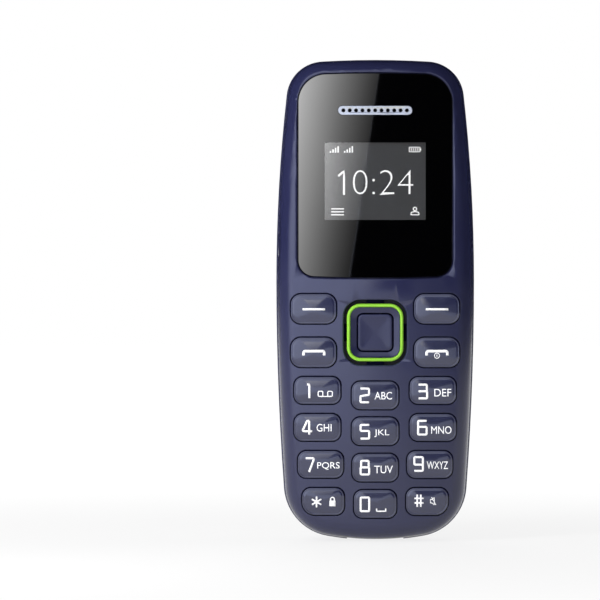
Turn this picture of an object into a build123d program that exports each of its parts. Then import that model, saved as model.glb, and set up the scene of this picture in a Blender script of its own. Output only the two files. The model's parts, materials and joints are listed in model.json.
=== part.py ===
from build123d import *

import os
from collections import namedtuple

# A small bar-shaped feature phone with a mono display, a number keypad and a lift-off rear cover.
# Lengths are in millimetres. The phone stands upright: X is to the right and Z is up as seen from
# the front, and Y runs from the front face towards the rear cover. The origin is the middle of the
# lowest point of the body.

# Whole body
body_width = 28.0
body_height = 68.0
body_depth = 12.0
key_proud = 0.25
cut_overrun = 0.5

# Front outline: two side arcs that meet at the widest height, a bowed top and a bowed bottom
widest_height_share = 0.541
top_corner_width_share = 0.857
bottom_corner_width_share = 0.893
top_bow = 0.56
bottom_bow = 2.1
top_corner_radius = 5.3
bottom_corner_radius = 7.4

# Front housing
front_depth = 3.55
front_inset = 0.25
front_wall = 1.1
front_edge_radius = 2.2
front_cavity_edge_radius = 0.35
pocket_bevel = 0.2
nav_bevel = 0.15

# Rear cover
part_gap = 0.2
cover_wall = 1.0
cover_edge_radius = 3.4
cover_rim_bevel = 0.2
cover_clearance = 0.15
speaker_slot_length = 7.47
speaker_slot_width = 1.42
speaker_slot_pitch = 2.56
speaker_slot_drop = 8.6
dimple_width = 2.8
dimple_length = 1.0
dimple_depth = 0.3
dimple_offset = 1.3
speaker_mesh_margin = 0.6
speaker_mesh_thickness = 0.14

# Lens, its adhesive and the ledge behind it
lens_side_margin = 3.15
lens_top_margin = 2.1
lens_key_gap = 2.1
lens_bow = 0.3
lens_top_radius = 4.0
lens_foot_radius = 2.3
lens_gap = 0.08
lens_sink = 0.05
lens_thickness = 0.75
lens_edge_bevel = 0.08
adhesive_thickness = 0.1
adhesive_width = 1.2
adhesive_margin = 0.1
ledge_thickness = 0.6
ledge_margin = 0.5

# Display, its ribbon and the window that shows it
view_width = 14.2
view_height = 10.9
view_rise = 0.8
window_margin = 0.4
display_side_margin = 1.2
display_top_margin = 1.3
display_foot_margin = 2.2
display_glass_thickness = 1.1
display_gap = 0.03
ribbon_width = 8.0
ribbon_length = 3.2
ribbon_thickness = 0.12

# Earpiece: a perforated metal strip in the lens, a dust mesh and a receiver
strip_length = 10.4
strip_width = 1.24
strip_drop = 5.25
strip_gap = 0.05
strip_sink = 0.02
strip_hole_diameter = 0.54
strip_hole_pitch = 0.893
strip_hole_count = 11
sound_slot_length = 9.8
sound_slot_width = 0.7
dust_mesh_thickness = 0.1
dust_mesh_margin = 0.4
receiver_length = 10.0
receiver_height = 6.0
receiver_depth = 1.9
receiver_corner_radius = 1.0
receiver_coil_diameter = 4.0
receiver_coil_depth = 0.3
receiver_rise = 0.75

# Number keys
key_margin = 2.48
key_gap = 1.3
key_height = 4.1
key_row_pitch = 5.2
key_foot_margin = 3.65
key_radius = 1.35
key_foot_corner_radius = 2.0
row_spread_shares = (1.0, 1.0, 0.945, 0.9)
row_width_shares = (1.0, 1.0, 0.98, 0.91)
row_drop_shares = (0.17, 0.13, 0.11, 0.085)
middle_width_share = 1.01
middle_height_share = 1.03

# Function keys beside the navigation key
function_margin = 2.0
function_gap = 0.9
function_height = 4.47
function_radius = 1.6
call_row_step = 5.35
soft_row_step = 6.11

# Key caps and how they are held
key_clearance = 0.12
key_edge_radius = 0.24
flange_lip = 0.2
flange_thickness = 0.35
flange_gap = 0.07
flange_wall_clearance = 0.15
boss_inset = 0.7
mat_gap = 0.03

# Navigation key, its bright trim ring, its rocker and the select key
nav_width = 8.85
nav_height = 9.2
nav_radius = 2.4
nav_drop = 0.27
nav_side_gap = 0.45
nav_end_gap = 0.55
trim_width = 0.5
trim_thickness = 0.65
trim_gap = 0.02
trim_edge_radius = 0.12
trim_sink = 0.02
nav_sink = 0.05
dish_width = 0.55
dish_depth = 0.35
nav_floor_thickness = 1.2
nav_skirt_width = 0.45
nav_tab_length = 2.4
nav_tab_lip = 0.2
nav_tab_thickness = 0.2
nav_tab_drop = 0.4
rocker_clearance = 0.1
rocker_thickness = 0.15
rocker_bar = 0.35
rocker_foot_width = 2.0
rocker_foot_margin = 0.1
rocker_side_clearance = 0.15
pivot_rib_width = 0.4
pivot_rib_gap = 0.02
select_width = 5.2
select_height = 5.5
select_radius = 0.9
select_gap = 0.18
select_rise = 0.05
select_flange_lip = 0.25
select_flange_thickness = 0.15

# Keypad mat and dome switches
mat_thickness = 0.3
mat_wall_clearance = 0.3
mat_top_margin = 0.3
mat_lip_width = 0.6
mat_nub_diameter = 1.6
mat_nub_gap = 0.02
mat_lip_gap = 0.02
dome_diameter = 3.4
dome_height = 0.25
dome_mat_gap = 0.2
nav_dome_spread = 3.5

# Main board and what is soldered to it
board_thickness = 0.8
board_wall_clearance = 0.25
board_top_margin = 10.3
board_screw_hole_diameter = 1.8

card_socket_width = 11.0
card_socket_height = 13.2
card_socket_depth = 1.35
card_socket_gap = 0.7
card_slot_width = 9.0
card_slot_height = 12.4
card_slot_depth = 0.75
card_window_width = 6.4
card_window_height = 6.0
card_row_gap = 0.9
card_screw_gap = 0.3
card_slot_floor = 0.2
lower_row_width = 10.4
lower_row_height = 10.4

shield_depth = 1.3
shield_wall = 0.15
shield_bend_radius = 0.3
chip_size = 8.0
chip_thickness = 0.85

usb_width = 7.4
usb_depth = 2.4
usb_length = 5.0
usb_wall = 0.25
usb_setback = 0.35
usb_tongue_width = 3.7
usb_tongue_thickness = 0.6
usb_back_wall = 0.8
usb_clearance = 0.3
usb_corner_radius = 0.6

microphone_width = 3.8
microphone_height = 3.0
microphone_depth = 1.3
microphone_offset = 7.2
microphone_rise = 5.6
sound_hole_diameter = 0.9
sound_hole_inset = 0.75

# Chassis
chassis_wall = 0.8
chassis_floor_thickness = 0.8
component_height = 1.7
back_plate_thickness = 0.9
chassis_edge_radius = 2.3
chassis_hollow_radius = 1.3
bay_clearance = 0.2
bay_wall = 1.0
window_clearance = 0.15

# Battery
battery_side_margin = 3.0
battery_depth = 4.0
battery_foot_margin = 9.2
battery_top_margin = 24.4
battery_seat_gap = 0.1
battery_edge_radius = 0.8
pad_width = 1.8
pad_depth = 1.4
pad_thickness = 0.1
pad_pitch = 2.5
pad_count = 3
pad_offset = 4.6
pad_rise = 1.5

# Battery contact block with sprung pins
contact_block_width = 8.2
contact_block_height = 2.6
contact_block_gap = 0.15
contact_block_roof = 0.9
pin_diameter = 0.8
pin_clearance = 0.05
pin_length = 2.4
pin_travel = 0.35
pin_tip_gap = 0.03

# Loudspeaker
speaker_width = 13.0
speaker_height = 10.4
speaker_depth = 3.0
speaker_corner_radius = 2.2
speaker_cone_diameter = 8.4
speaker_cone_depth = 0.5
speaker_dome_diameter = 3.4
speaker_dome_height = 0.35
gasket_width = 0.9
gasket_thickness = 0.3
sound_port_length = 9.0
sound_port_width = 4.4
collar_clearance = 0.1
collar_wall = 0.6
collar_depth = 1.6

# Vibration motor
motor_diameter = 4.0
motor_length = 6.6
motor_offset = 0.4
motor_rise = 3.1
motor_shaft_diameter = 0.8
shaft_clearance = 0.05
motor_seat_gap = 0.1
motor_edge_radius = 0.15
shaft_end = 0.2
weight_radius = 1.8
weight_length = 2.6
weight_gap = 0.4
weight_hub_radius = 0.85
cradle_wall = 0.7
cradle_length = 1.4
cradle_clearance = 0.05

# Antenna
antenna_width = 17.0
antenna_height = 4.6
antenna_thickness = 0.12
antenna_rise = 2.4
antenna_slit_width = 0.7
antenna_slit_length = 12.0

# Screws
screw_shank_diameter = 1.4
screw_shank_length = 3.0
screw_head_diameter = 2.4
screw_head_height = 0.6
screw_hole_gap = 0.03
screw_boss_diameter = 2.6
screw_seat_thickness = 0.9
screw_well_clearance = 0.25
screw_well_wall = 0.6
screw_boss_gap = 0.05
screw_recess_length = 1.3
screw_recess_width = 0.3
screw_recess_depth = 0.35
upper_screw_margin = 4.8
upper_screw_drop = 6.5
middle_screw_margin = 3.2
middle_screw_gap = 1.65


# Depths along Y, worked out from the sizes above
crown_y = -body_depth / 2
face_y = crown_y + key_proud
wall_y = face_y + front_wall
part_y = face_y + front_depth
cover_rim_y = part_y + part_gap
board_back_y = part_y
board_y = board_back_y - board_thickness
cover_back_y = body_depth / 2
cover_inner_y = cover_back_y - cover_wall
chassis_back_y = cover_inner_y - part_gap
floor_y = board_back_y + component_height
floor_back_y = floor_y + chassis_floor_thickness
plate_y = chassis_back_y - back_plate_thickness
battery_y = floor_back_y + battery_seat_gap

lens_y = face_y + lens_sink
lens_back_y = lens_y + lens_thickness
ledge_y = lens_back_y + adhesive_thickness
ledge_back_y = ledge_y + ledge_thickness

dome_y = board_y - dome_height
mat_back_y = dome_y - dome_mat_gap
mat_y = mat_back_y - mat_thickness
flange_y = wall_y + flange_gap
flange_back_y = flange_y + flange_thickness
cap_back_y = mat_y - mat_gap
display_y = board_y - display_gap - display_glass_thickness

trim_y = crown_y + trim_sink
trim_back_y = trim_y + trim_thickness
nav_y = trim_y + nav_sink
nav_tab_y = wall_y + nav_tab_drop
skirt_back_y = nav_tab_y + nav_tab_thickness
nav_under_y = nav_y + dish_depth + nav_floor_thickness
rocker_y = skirt_back_y + rocker_clearance
select_y = nav_y + dish_depth - select_rise
select_flange_y = cap_back_y - select_flange_thickness

screw_seat_y = part_y + screw_seat_thickness
screw_tip_y = screw_seat_y - screw_shank_length
screw_hole_radius = screw_shank_diameter / 2 + screw_hole_gap
screw_well_radius = screw_head_diameter / 2 + screw_well_clearance
usb_y = board_back_y + usb_depth / 2
sound_hole_y = cover_rim_y + sound_hole_inset
motor_y = board_back_y + motor_seat_gap + motor_diameter / 2
pad_y = battery_y + pad_rise

# Insets of the nested outlines
cavity_inset = front_inset + front_wall
chassis_inset = cover_wall + cover_clearance
board_inset = cavity_inset + board_wall_clearance
bay_inset = chassis_inset + chassis_wall

# Heights along Z of the keypad, from the foot up, and of the lens, which takes what is left
half_width = body_width / 2
row_heights = [
    key_foot_margin + key_height / 2 + key_row_pitch * (3 - row) for row in range(4)
]
call_z = row_heights[0] + call_row_step
soft_z = call_z + soft_row_step
nav_z = (call_z + soft_z) / 2 - nav_drop
lens_width = body_width - 2 * lens_side_margin
lens_foot_z = soft_z + function_height / 2 + lens_key_gap
lens_top_z = body_height - lens_top_margin
lens_z = (lens_foot_z + lens_top_z) / 2
view_z = lens_z - view_rise
strip_z = lens_top_z - strip_drop
upper_screw_z = body_height - upper_screw_drop
middle_screw_z = lens_foot_z - middle_screw_gap + screw_boss_diameter / 2
board_top_z = body_height - board_top_margin
speaker_slot_z = body_height - speaker_slot_drop
speaker_z = speaker_slot_z - speaker_slot_pitch / 2
battery_width = body_width - 2 * battery_side_margin
battery_height = body_height - battery_foot_margin - battery_top_margin
battery_top_z = battery_foot_margin + battery_height
upper_hollow_z = battery_top_z + bay_clearance + bay_wall
lower_hollow_z = battery_foot_margin - bay_clearance - chassis_wall
motor_z = upper_hollow_z + motor_rise
card_socket_top_z = middle_screw_z - screw_well_radius - screw_well_wall - card_screw_gap
card_socket_z = card_socket_top_z - card_socket_height / 2
lower_row_z = card_socket_z - (card_socket_height + lower_row_height) / 2 - card_row_gap
card_socket_x = (card_socket_width + card_socket_gap) / 2
lower_row_x = (lower_row_width + card_socket_gap) / 2

# Key table: a name, the middle, the size, the corner radius, and a rounder outer foot corner where
# the side is +1 for right or -1 for left
Key = namedtuple("Key", "name x z width height radius foot_radius side")

number_width = (body_width - 2 * key_margin - 2 * key_gap) / 3
column_spread = number_width + key_gap
function_width = half_width - function_margin - nav_width / 2 - function_gap
function_x = nav_width / 2 + function_gap + function_width / 2

keys = [
    Key("softkey_left", -function_x, soft_z, function_width, function_height, function_radius, None, 0),
    Key("softkey_right", function_x, soft_z, function_width, function_height, function_radius, None, 0),
    Key("call_key", -function_x, call_z, function_width, function_height, function_radius, None, 0),
    Key("end_key", function_x, call_z, function_width, function_height, function_radius, None, 0),
]
key_rows = [
    ("key_1", "key_2", "key_3"),
    ("key_4", "key_5", "key_6"),
    ("key_7", "key_8", "key_9"),
    ("key_star", "key_0", "key_hash"),
]
for row, names in enumerate(key_rows):
    for side, name in zip((-1, 0, 1), names):
        is_middle = side == 0
        foot_corner = key_foot_corner_radius if row == 3 and not is_middle else None
        keys.append(
            Key(
                name,
                side * column_spread * row_spread_shares[row],
                row_heights[row] - (key_height * row_drop_shares[row] if is_middle else 0),
                number_width * row_width_shares[row] * (middle_width_share if is_middle else 1),
                key_height * (middle_height_share if is_middle else 1),
                key_radius,
                foot_corner,
                side,
            )
        )


def front_plane(y):
    """A sketch plane at depth y seen from the front. Its normal points out of the front, so an
    extrusion by a negative amount goes towards the rear cover."""
    return Plane.XZ.offset(-y)


# Outline of the whole phone
with BuildSketch() as phone_outline:
    widest = (half_width, body_height * widest_height_share)
    top_corner = (half_width * top_corner_width_share, body_height - top_bow)
    foot_corner = (half_width * bottom_corner_width_share, bottom_bow)
    with BuildLine():
        TangentArc(widest, top_corner, tangent=(0, 1))
        TangentArc(widest, foot_corner, tangent=(0, -1))
        mirror(about=Plane.YZ)
        ThreePointArc(top_corner, (0, body_height), (-top_corner[0], top_corner[1]))
        ThreePointArc(foot_corner, (0, 0), (-foot_corner[0], foot_corner[1]))
    make_face()
    fillet(phone_outline.vertices().group_by(Axis.Y)[-1], radius=top_corner_radius)
    fillet(phone_outline.vertices().group_by(Axis.Y)[0], radius=bottom_corner_radius)


def body_outline(inset):
    """The phone's outline, moved in by inset all round. Its arcs are drawn again after the move,
    because the moved ones do not all survive the file format."""
    if inset == 0:
        return phone_outline.sketch
    moved = offset(phone_outline.sketch, amount=-inset, mode=Mode.PRIVATE)
    with BuildSketch(mode=Mode.PRIVATE) as shape:
        with BuildLine():
            for edge in moved.edges():
                ThreePointArc(edge @ 0, edge @ 0.5, edge @ 1)
        make_face()
    return shape.sketch


def rounded_rectangle(width, height, radius, x=0, z=0):
    """A rounded rectangle with its middle at x, z."""
    with BuildSketch(mode=Mode.PRIVATE) as shape:
        with Locations((x, z)):
            RectangleRounded(width, height, radius)
    return shape.sketch


def key_shape(key, growth):
    """The key's hole in the housing as seen from the front, grown by growth all round."""
    with BuildSketch(mode=Mode.PRIVATE) as shape:
        with Locations((key.x, key.z)):
            RectangleRounded(key.width, key.height, key.radius)
        if key.foot_radius:
            with Locations((key.x - key.side * key.width / 2, key.z + key.height / 2)):
                RectangleRounded(2 * key.width, 2 * key.height, key.foot_radius, mode=Mode.INTERSECT)
        if growth:
            offset(amount=growth)
    return shape.sketch


def lens_shape(growth):
    """The lens outline with its bowed top and foot, grown by growth all round."""
    with BuildSketch(mode=Mode.PRIVATE) as shape:
        side = lens_width / 2
        top, foot = lens_top_z - lens_bow, lens_foot_z + lens_bow
        with BuildLine():
            Line((-side, foot), (-side, top))
            ThreePointArc((-side, top), (0, lens_top_z), (side, top))
            Line((side, top), (side, foot))
            ThreePointArc((side, foot), (0, lens_foot_z), (-side, foot))
        make_face()
        fillet(shape.vertices().group_by(Axis.Y)[-1], radius=lens_top_radius)
        fillet(shape.vertices().group_by(Axis.Y)[0], radius=lens_foot_radius)
        if growth:
            offset(amount=growth)
    return shape.sketch


def nav_shape(side_inset, end_inset):
    """The navigation recess as seen from the front, moved in by its two insets."""
    return rounded_rectangle(
        nav_width - 2 * side_inset,
        nav_height - 2 * end_inset,
        nav_radius - (side_inset + end_inset) / 2,
        z=nav_z,
    )


def write(part, name):
    """Labels a finished piece and writes it to its file."""
    part.label = name
    export_step(part, f"parts/{name}.step")


os.makedirs("parts", exist_ok=True)

upper_screws = [(side * (half_width - upper_screw_margin), upper_screw_z) for side in (-1, 1)]
middle_screws = [(side * (half_width - middle_screw_margin), middle_screw_z) for side in (-1, 1)]
screw_spots = upper_screws + middle_screws
pad_spots = [pad_pitch * (i - (pad_count - 1) / 2) - pad_offset for i in range(pad_count)]

# The hollow behind the front wall
with BuildPart() as front_cavity:
    with BuildSketch(front_plane(wall_y)):
        add(body_outline(cavity_inset))
    extrude(amount=-front_depth)
    fillet(front_cavity.faces().sort_by(Axis.Y)[0].edges(), radius=front_cavity_edge_radius)

# Front housing: a shell with a bevelled lens pocket, key holes and four screw bosses
with BuildPart() as front_housing:
    with BuildSketch(front_plane(face_y)):
        add(body_outline(front_inset))
    extrude(amount=-front_depth)
    fillet(front_housing.faces().sort_by(Axis.Y)[0].edges(), radius=front_edge_radius)
    add(front_cavity.part, mode=Mode.SUBTRACT)
    with BuildSketch(front_plane(ledge_back_y)):
        add(body_outline(front_inset + front_wall / 2))
        with Locations((0, lens_foot_z - ledge_margin + body_height / 2)):
            Rectangle(body_width, body_height, mode=Mode.INTERSECT)
    extrude(amount=ledge_back_y - wall_y)
    boss_ends = ((upper_screws, part_y - screw_boss_gap), (middle_screws, board_y - screw_boss_gap))
    for spots, back_y in boss_ends:
        with BuildSketch(front_plane(wall_y)):
            with Locations(*spots):
                Circle(screw_boss_diameter / 2)
            add(body_outline(front_inset + front_wall / 2), mode=Mode.INTERSECT)
        extrude(amount=wall_y - back_y)
    with BuildSketch(front_plane(screw_tip_y - screw_hole_gap)):
        with Locations(*screw_spots):
            Circle(screw_hole_radius)
    extrude(amount=-front_depth, mode=Mode.SUBTRACT)
    with BuildSketch(front_plane(face_y)):
        add(lens_shape(lens_gap))
    extrude(amount=face_y - ledge_y, mode=Mode.SUBTRACT)
    with BuildSketch(front_plane(face_y - cut_overrun)):
        with Locations((0, view_z)):
            Rectangle(view_width + 2 * window_margin, view_height + 2 * window_margin)
        with Locations((0, strip_z)):
            SlotOverall(sound_slot_length, sound_slot_width)
        for key in keys:
            add(key_shape(key, 0))
        add(nav_shape(0, 0))
    extrude(amount=-front_depth, mode=Mode.SUBTRACT)
    with BuildSketch(front_plane(face_y)):
        add(lens_shape(lens_gap + pocket_bevel))
    with BuildSketch(front_plane(face_y + pocket_bevel)):
        add(lens_shape(lens_gap))
    loft(ruled=True, mode=Mode.SUBTRACT)
    with BuildSketch(front_plane(face_y)):
        add(nav_shape(-nav_bevel, -nav_bevel))
    with BuildSketch(front_plane(face_y + nav_bevel)):
        add(nav_shape(0, 0))
    loft(ruled=True, mode=Mode.SUBTRACT)
write(front_housing.part, "front_housing")

# Lens: a bevelled acrylic plate with a slot for the earpiece strip
with BuildPart() as screen_lens:
    with BuildSketch(front_plane(lens_y)):
        add(lens_shape(0))
    extrude(amount=-lens_thickness)
    chamfer(screen_lens.faces().sort_by(Axis.Y)[0].edges(), length=lens_edge_bevel)
    with BuildSketch(front_plane(lens_y)):
        with Locations((0, strip_z)):
            SlotOverall(strip_length + 2 * strip_gap, strip_width + 2 * strip_gap)
    extrude(amount=-lens_thickness, mode=Mode.SUBTRACT)
write(screen_lens.part, "screen_lens")

# Adhesive: a die-cut tape frame between the lens and its ledge
with BuildPart() as lens_adhesive:
    with BuildSketch(front_plane(lens_back_y)):
        add(lens_shape(-adhesive_margin))
        add(lens_shape(-adhesive_margin - adhesive_width), mode=Mode.SUBTRACT)
    extrude(amount=-adhesive_thickness)
write(lens_adhesive.part, "lens_adhesive")

# Earpiece strip: a metal pill with a row of round holes, seated on the ledge
with BuildPart() as earpiece_strip:
    strip_y = lens_y + strip_sink
    with BuildSketch(front_plane(strip_y)):
        with Locations((0, strip_z)):
            SlotOverall(strip_length, strip_width)
            with GridLocations(strip_hole_pitch, 0, strip_hole_count, 1):
                Circle(strip_hole_diameter / 2, mode=Mode.SUBTRACT)
    extrude(amount=strip_y - ledge_y)
write(earpiece_strip.part, "earpiece_strip")

# Dust mesh behind the sound slot
with BuildPart() as earpiece_dust_mesh:
    with BuildSketch(front_plane(ledge_back_y)):
        with Locations((0, strip_z)):
            SlotOverall(sound_slot_length + 2 * dust_mesh_margin, sound_slot_width + 2 * dust_mesh_margin)
    extrude(amount=-dust_mesh_thickness)
write(earpiece_dust_mesh.part, "earpiece_dust_mesh")

# Earpiece receiver: a flat capsule with a round coil seat on its back
with BuildPart() as earpiece_receiver:
    receiver_y = ledge_back_y + dust_mesh_thickness
    receiver_z = strip_z + receiver_rise
    with BuildSketch(front_plane(receiver_y)):
        add(rounded_rectangle(receiver_length, receiver_height, receiver_corner_radius, z=receiver_z))
    extrude(amount=-receiver_depth)
    with BuildSketch(front_plane(receiver_y + receiver_depth)):
        with Locations((0, receiver_z)):
            Circle(receiver_coil_diameter / 2)
    extrude(amount=receiver_coil_depth, mode=Mode.SUBTRACT)
write(earpiece_receiver.part, "earpiece_receiver")

# Display module: a glass sandwich in front of the board, longer at its foot for the driver chip
with BuildPart() as display_module:
    with BuildSketch(front_plane(display_y)):
        with Locations((0, view_z + (display_top_margin - display_foot_margin) / 2)):
            Rectangle(
                view_width + 2 * display_side_margin,
                view_height + display_top_margin + display_foot_margin,
            )
    extrude(amount=-display_glass_thickness)
write(display_module.part, "display_module")

# Display ribbon: soldered to the board under the display's foot
with BuildPart() as display_ribbon:
    display_foot_z = view_z - view_height / 2 - display_foot_margin
    with BuildSketch(front_plane(board_y)):
        with Locations((0, display_foot_z - ribbon_length / 2)):
            Rectangle(ribbon_width, ribbon_length)
    extrude(amount=ribbon_thickness)
write(display_ribbon.part, "display_ribbon")


def key_cap(key):
    """A moulded cap: a rounded head in the hole, a lip behind the wall and a boss on the mat."""
    with BuildPart() as cap:
        with BuildSketch(front_plane(crown_y)):
            add(key_shape(key, -key_clearance))
        extrude(amount=crown_y - flange_back_y)
        fillet(cap.faces().sort_by(Axis.Y)[0].edges(), radius=key_edge_radius)
        with BuildSketch(front_plane(flange_y)):
            add(key_shape(key, flange_lip))
            add(body_outline(cavity_inset + flange_wall_clearance), mode=Mode.INTERSECT)
        extrude(amount=-flange_thickness)
        with BuildSketch(front_plane(flange_back_y)):
            add(key_shape(key, -boss_inset))
        extrude(amount=flange_back_y - cap_back_y)
    return cap.part


# Key caps
for key in keys:
    write(key_cap(key), key.name)

# Select key: the flat square cap inside the navigation key
with BuildPart() as select_key:
    cap_width, cap_height = select_width - 2 * select_gap, select_height - 2 * select_gap
    with BuildSketch(front_plane(select_y)):
        add(rounded_rectangle(cap_width, cap_height, select_radius - select_gap, z=nav_z))
    extrude(amount=select_y - cap_back_y)
    fillet(select_key.faces().sort_by(Axis.Y)[0].edges(), radius=key_edge_radius / 2)
    with BuildSketch(front_plane(select_flange_y)):
        add(
            rounded_rectangle(
                cap_width + 2 * select_flange_lip,
                cap_height + 2 * select_flange_lip,
                select_radius - select_gap + select_flange_lip,
                z=nav_z,
            )
        )
    extrude(amount=-select_flange_thickness)
write(select_key.part, "select_key")

# Navigation key: a dished frame with a step for the trim ring, a skirt and four retaining tabs
with BuildPart() as nav_key:
    trim_seat = trim_width + trim_gap
    with BuildSketch(front_plane(nav_y)):
        add(nav_shape(nav_side_gap + trim_seat, nav_end_gap + trim_seat))
    extrude(amount=nav_y - nav_under_y)
    with BuildSketch(front_plane(trim_back_y)):
        add(nav_shape(nav_side_gap, nav_end_gap))
    extrude(amount=trim_back_y - nav_under_y)
    with BuildSketch(front_plane(nav_tab_y)):
        with Locations((0, nav_z)):
            Rectangle(nav_width + 2 * nav_tab_lip, nav_tab_length)
            Rectangle(nav_tab_length, nav_height + 2 * nav_tab_lip)
    extrude(amount=-nav_tab_thickness)
    with BuildSketch(front_plane(nav_under_y)):
        add(nav_shape(nav_side_gap, nav_end_gap))
    extrude(amount=nav_under_y - skirt_back_y)
    with BuildSketch(front_plane(nav_under_y)):
        add(nav_shape(nav_side_gap + nav_skirt_width, nav_end_gap + nav_skirt_width))
    extrude(amount=-front_depth, mode=Mode.SUBTRACT)
    with BuildSketch(front_plane(nav_y - cut_overrun)):
        add(rounded_rectangle(select_width, select_height, select_radius, z=nav_z))
    extrude(amount=-front_depth, mode=Mode.SUBTRACT)
    with BuildSketch(front_plane(nav_y)):
        add(
            rounded_rectangle(
                select_width + 2 * dish_width,
                select_height + 2 * dish_width,
                select_radius + dish_width,
                z=nav_z,
            )
        )
    with BuildSketch(front_plane(nav_y + dish_depth)):
        add(rounded_rectangle(select_width, select_height, select_radius, z=nav_z))
    loft(ruled=True, mode=Mode.SUBTRACT)
write(nav_key.part, "nav_key")

# Bright trim ring round the navigation key
with BuildPart() as nav_trim_ring:
    with BuildSketch(front_plane(trim_y)):
        add(nav_shape(nav_side_gap, nav_end_gap))
        add(nav_shape(nav_side_gap + trim_width, nav_end_gap + trim_width), mode=Mode.SUBTRACT)
    extrude(amount=-trim_thickness)
    fillet(nav_trim_ring.faces().sort_by(Axis.Y)[0].edges(), radius=trim_edge_radius)
write(nav_trim_ring.part, "nav_trim_ring")

# Navigation rocker: the thin frame that lets the navigation key tilt both ways
with BuildPart() as nav_rocker:
    opening = select_flange_lip - select_gap + rocker_side_clearance
    with BuildSketch(front_plane(rocker_y)):
        add(
            rounded_rectangle(
                select_width + 2 * (opening + rocker_bar),
                select_height + 2 * (opening + rocker_bar),
                select_radius + opening + rocker_bar,
                z=nav_z,
            )
        )
        with Locations((0, nav_z)):
            Rectangle(rocker_foot_width, nav_height - 2 * (nav_end_gap + rocker_foot_margin))
        add(
            rounded_rectangle(
                select_width + 2 * opening,
                select_height + 2 * opening,
                select_radius + opening,
                z=nav_z,
            ),
            mode=Mode.SUBTRACT,
        )
    extrude(amount=-rocker_thickness)
    rib_length = nav_skirt_width - rocker_foot_margin
    rib_z = nav_height / 2 - nav_end_gap - rocker_foot_margin - rib_length / 2
    with BuildSketch(front_plane(rocker_y)):
        with Locations((0, nav_z - rib_z), (0, nav_z + rib_z)):
            Rectangle(pivot_rib_width, rib_length)
    extrude(amount=rocker_clearance - pivot_rib_gap)
write(nav_rocker.part, "nav_rocker")

# Dome switches: one under each key, four under the navigation key and one under the select key
dome_spots = [(key.x, key.z) for key in keys]
dome_spots += [(0, nav_z), (0, nav_z - nav_dome_spread), (0, nav_z + nav_dome_spread)]
dome_spots += [(-nav_dome_spread, nav_z), (nav_dome_spread, nav_z)]
with BuildPart() as dome:
    with BuildSketch(Plane.XY):
        with BuildLine():
            Line((0, board_y), (0, dome_y))
            ThreePointArc(
                (-dome_diameter / 2, board_y), (0, dome_y), (dome_diameter / 2, board_y)
            )
            Line((0, board_y), (dome_diameter / 2, board_y))
            split(bisect_by=Plane.YZ, keep=Keep.TOP)
        make_face()
    revolve(axis=Axis.Y)
with BuildPart() as dome_switches:
    with Locations(*[(x, 0, z) for x, z in dome_spots]):
        add(dome.part)
write(dome_switches.part, "dome_switches")

# Keypad mat: a silicone sheet with a lip down to the board and a nub over each dome
mat_top_z = soft_z + function_height / 2 + mat_top_margin
mat_inset = cavity_inset + mat_wall_clearance
with BuildPart() as keypad_mat:
    with BuildSketch(front_plane(mat_y)):
        add(body_outline(mat_inset))
        with Locations((0, mat_top_z / 2)):
            Rectangle(body_width, mat_top_z, mode=Mode.INTERSECT)
    extrude(amount=mat_y - board_y + mat_lip_gap)
    with BuildSketch(front_plane(mat_back_y)):
        add(body_outline(mat_inset + mat_lip_width))
        with Locations((0, (mat_top_z - mat_lip_width) / 2)):
            Rectangle(body_width, mat_top_z - mat_lip_width, mode=Mode.INTERSECT)
    extrude(amount=-front_depth, mode=Mode.SUBTRACT)
    with BuildSketch(front_plane(mat_back_y)):
        with Locations(*dome_spots):
            Circle(mat_nub_diameter / 2)
    extrude(amount=mat_nub_gap - dome_mat_gap)
write(keypad_mat.part, "keypad_mat")

# Main board
with BuildPart() as main_board:
    with BuildSketch(front_plane(board_y)):
        add(body_outline(board_inset))
        with Locations((0, board_top_z / 2)):
            Rectangle(body_width, board_top_z, mode=Mode.INTERSECT)
        with Locations(*middle_screws):
            Circle(board_screw_hole_diameter / 2, mode=Mode.SUBTRACT)
    extrude(amount=-board_thickness)
write(main_board.part, "main_board")


def card_socket(x, z, width, height, slot_height):
    """A card holder on the back of the board, open at its foot, with a window on its contacts."""
    slot_y = board_back_y + card_slot_floor
    slot_z = z - height / 2
    with BuildPart() as socket:
        with BuildSketch(front_plane(board_back_y)):
            with Locations((x, z)):
                Rectangle(width, height)
        extrude(amount=-card_socket_depth)
        with BuildSketch(front_plane(slot_y)):
            with Locations((x, slot_z + (slot_height - cut_overrun) / 2)):
                Rectangle(card_slot_width, slot_height + cut_overrun)
        extrude(amount=-card_slot_depth, mode=Mode.SUBTRACT)
        with BuildSketch(front_plane(slot_y)):
            with Locations((x, z)):
                Rectangle(card_window_width, card_window_height)
        extrude(amount=-card_socket_depth, mode=Mode.SUBTRACT)
    return socket.part


# Card sockets: two for subscriber cards, one for a memory card
sim_size = (card_socket_width, card_socket_height, card_slot_height)
write(card_socket(-card_socket_x, card_socket_z, *sim_size), "sim_socket_1")
write(card_socket(card_socket_x, card_socket_z, *sim_size), "sim_socket_2")
lower_slot_height = lower_row_height - (card_socket_height - card_slot_height)
memory_size = (lower_row_width, lower_row_height, lower_slot_height)
write(card_socket(lower_row_x, lower_row_z, *memory_size), "memory_card_socket")

# Shield can over the processor
with BuildPart() as shield_can:
    with BuildSketch(front_plane(board_back_y)):
        with Locations((-lower_row_x, lower_row_z)):
            Rectangle(lower_row_width, lower_row_height)
    extrude(amount=-shield_depth)
    fillet(shield_can.faces().sort_by(Axis.Y)[-1].edges(), radius=shield_bend_radius)
    with BuildSketch(front_plane(board_back_y)):
        with Locations((-lower_row_x, lower_row_z)):
            Rectangle(lower_row_width - 2 * shield_wall, lower_row_height - 2 * shield_wall)
    extrude(amount=shield_wall - shield_depth, mode=Mode.SUBTRACT)
write(shield_can.part, "shield_can")

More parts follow.
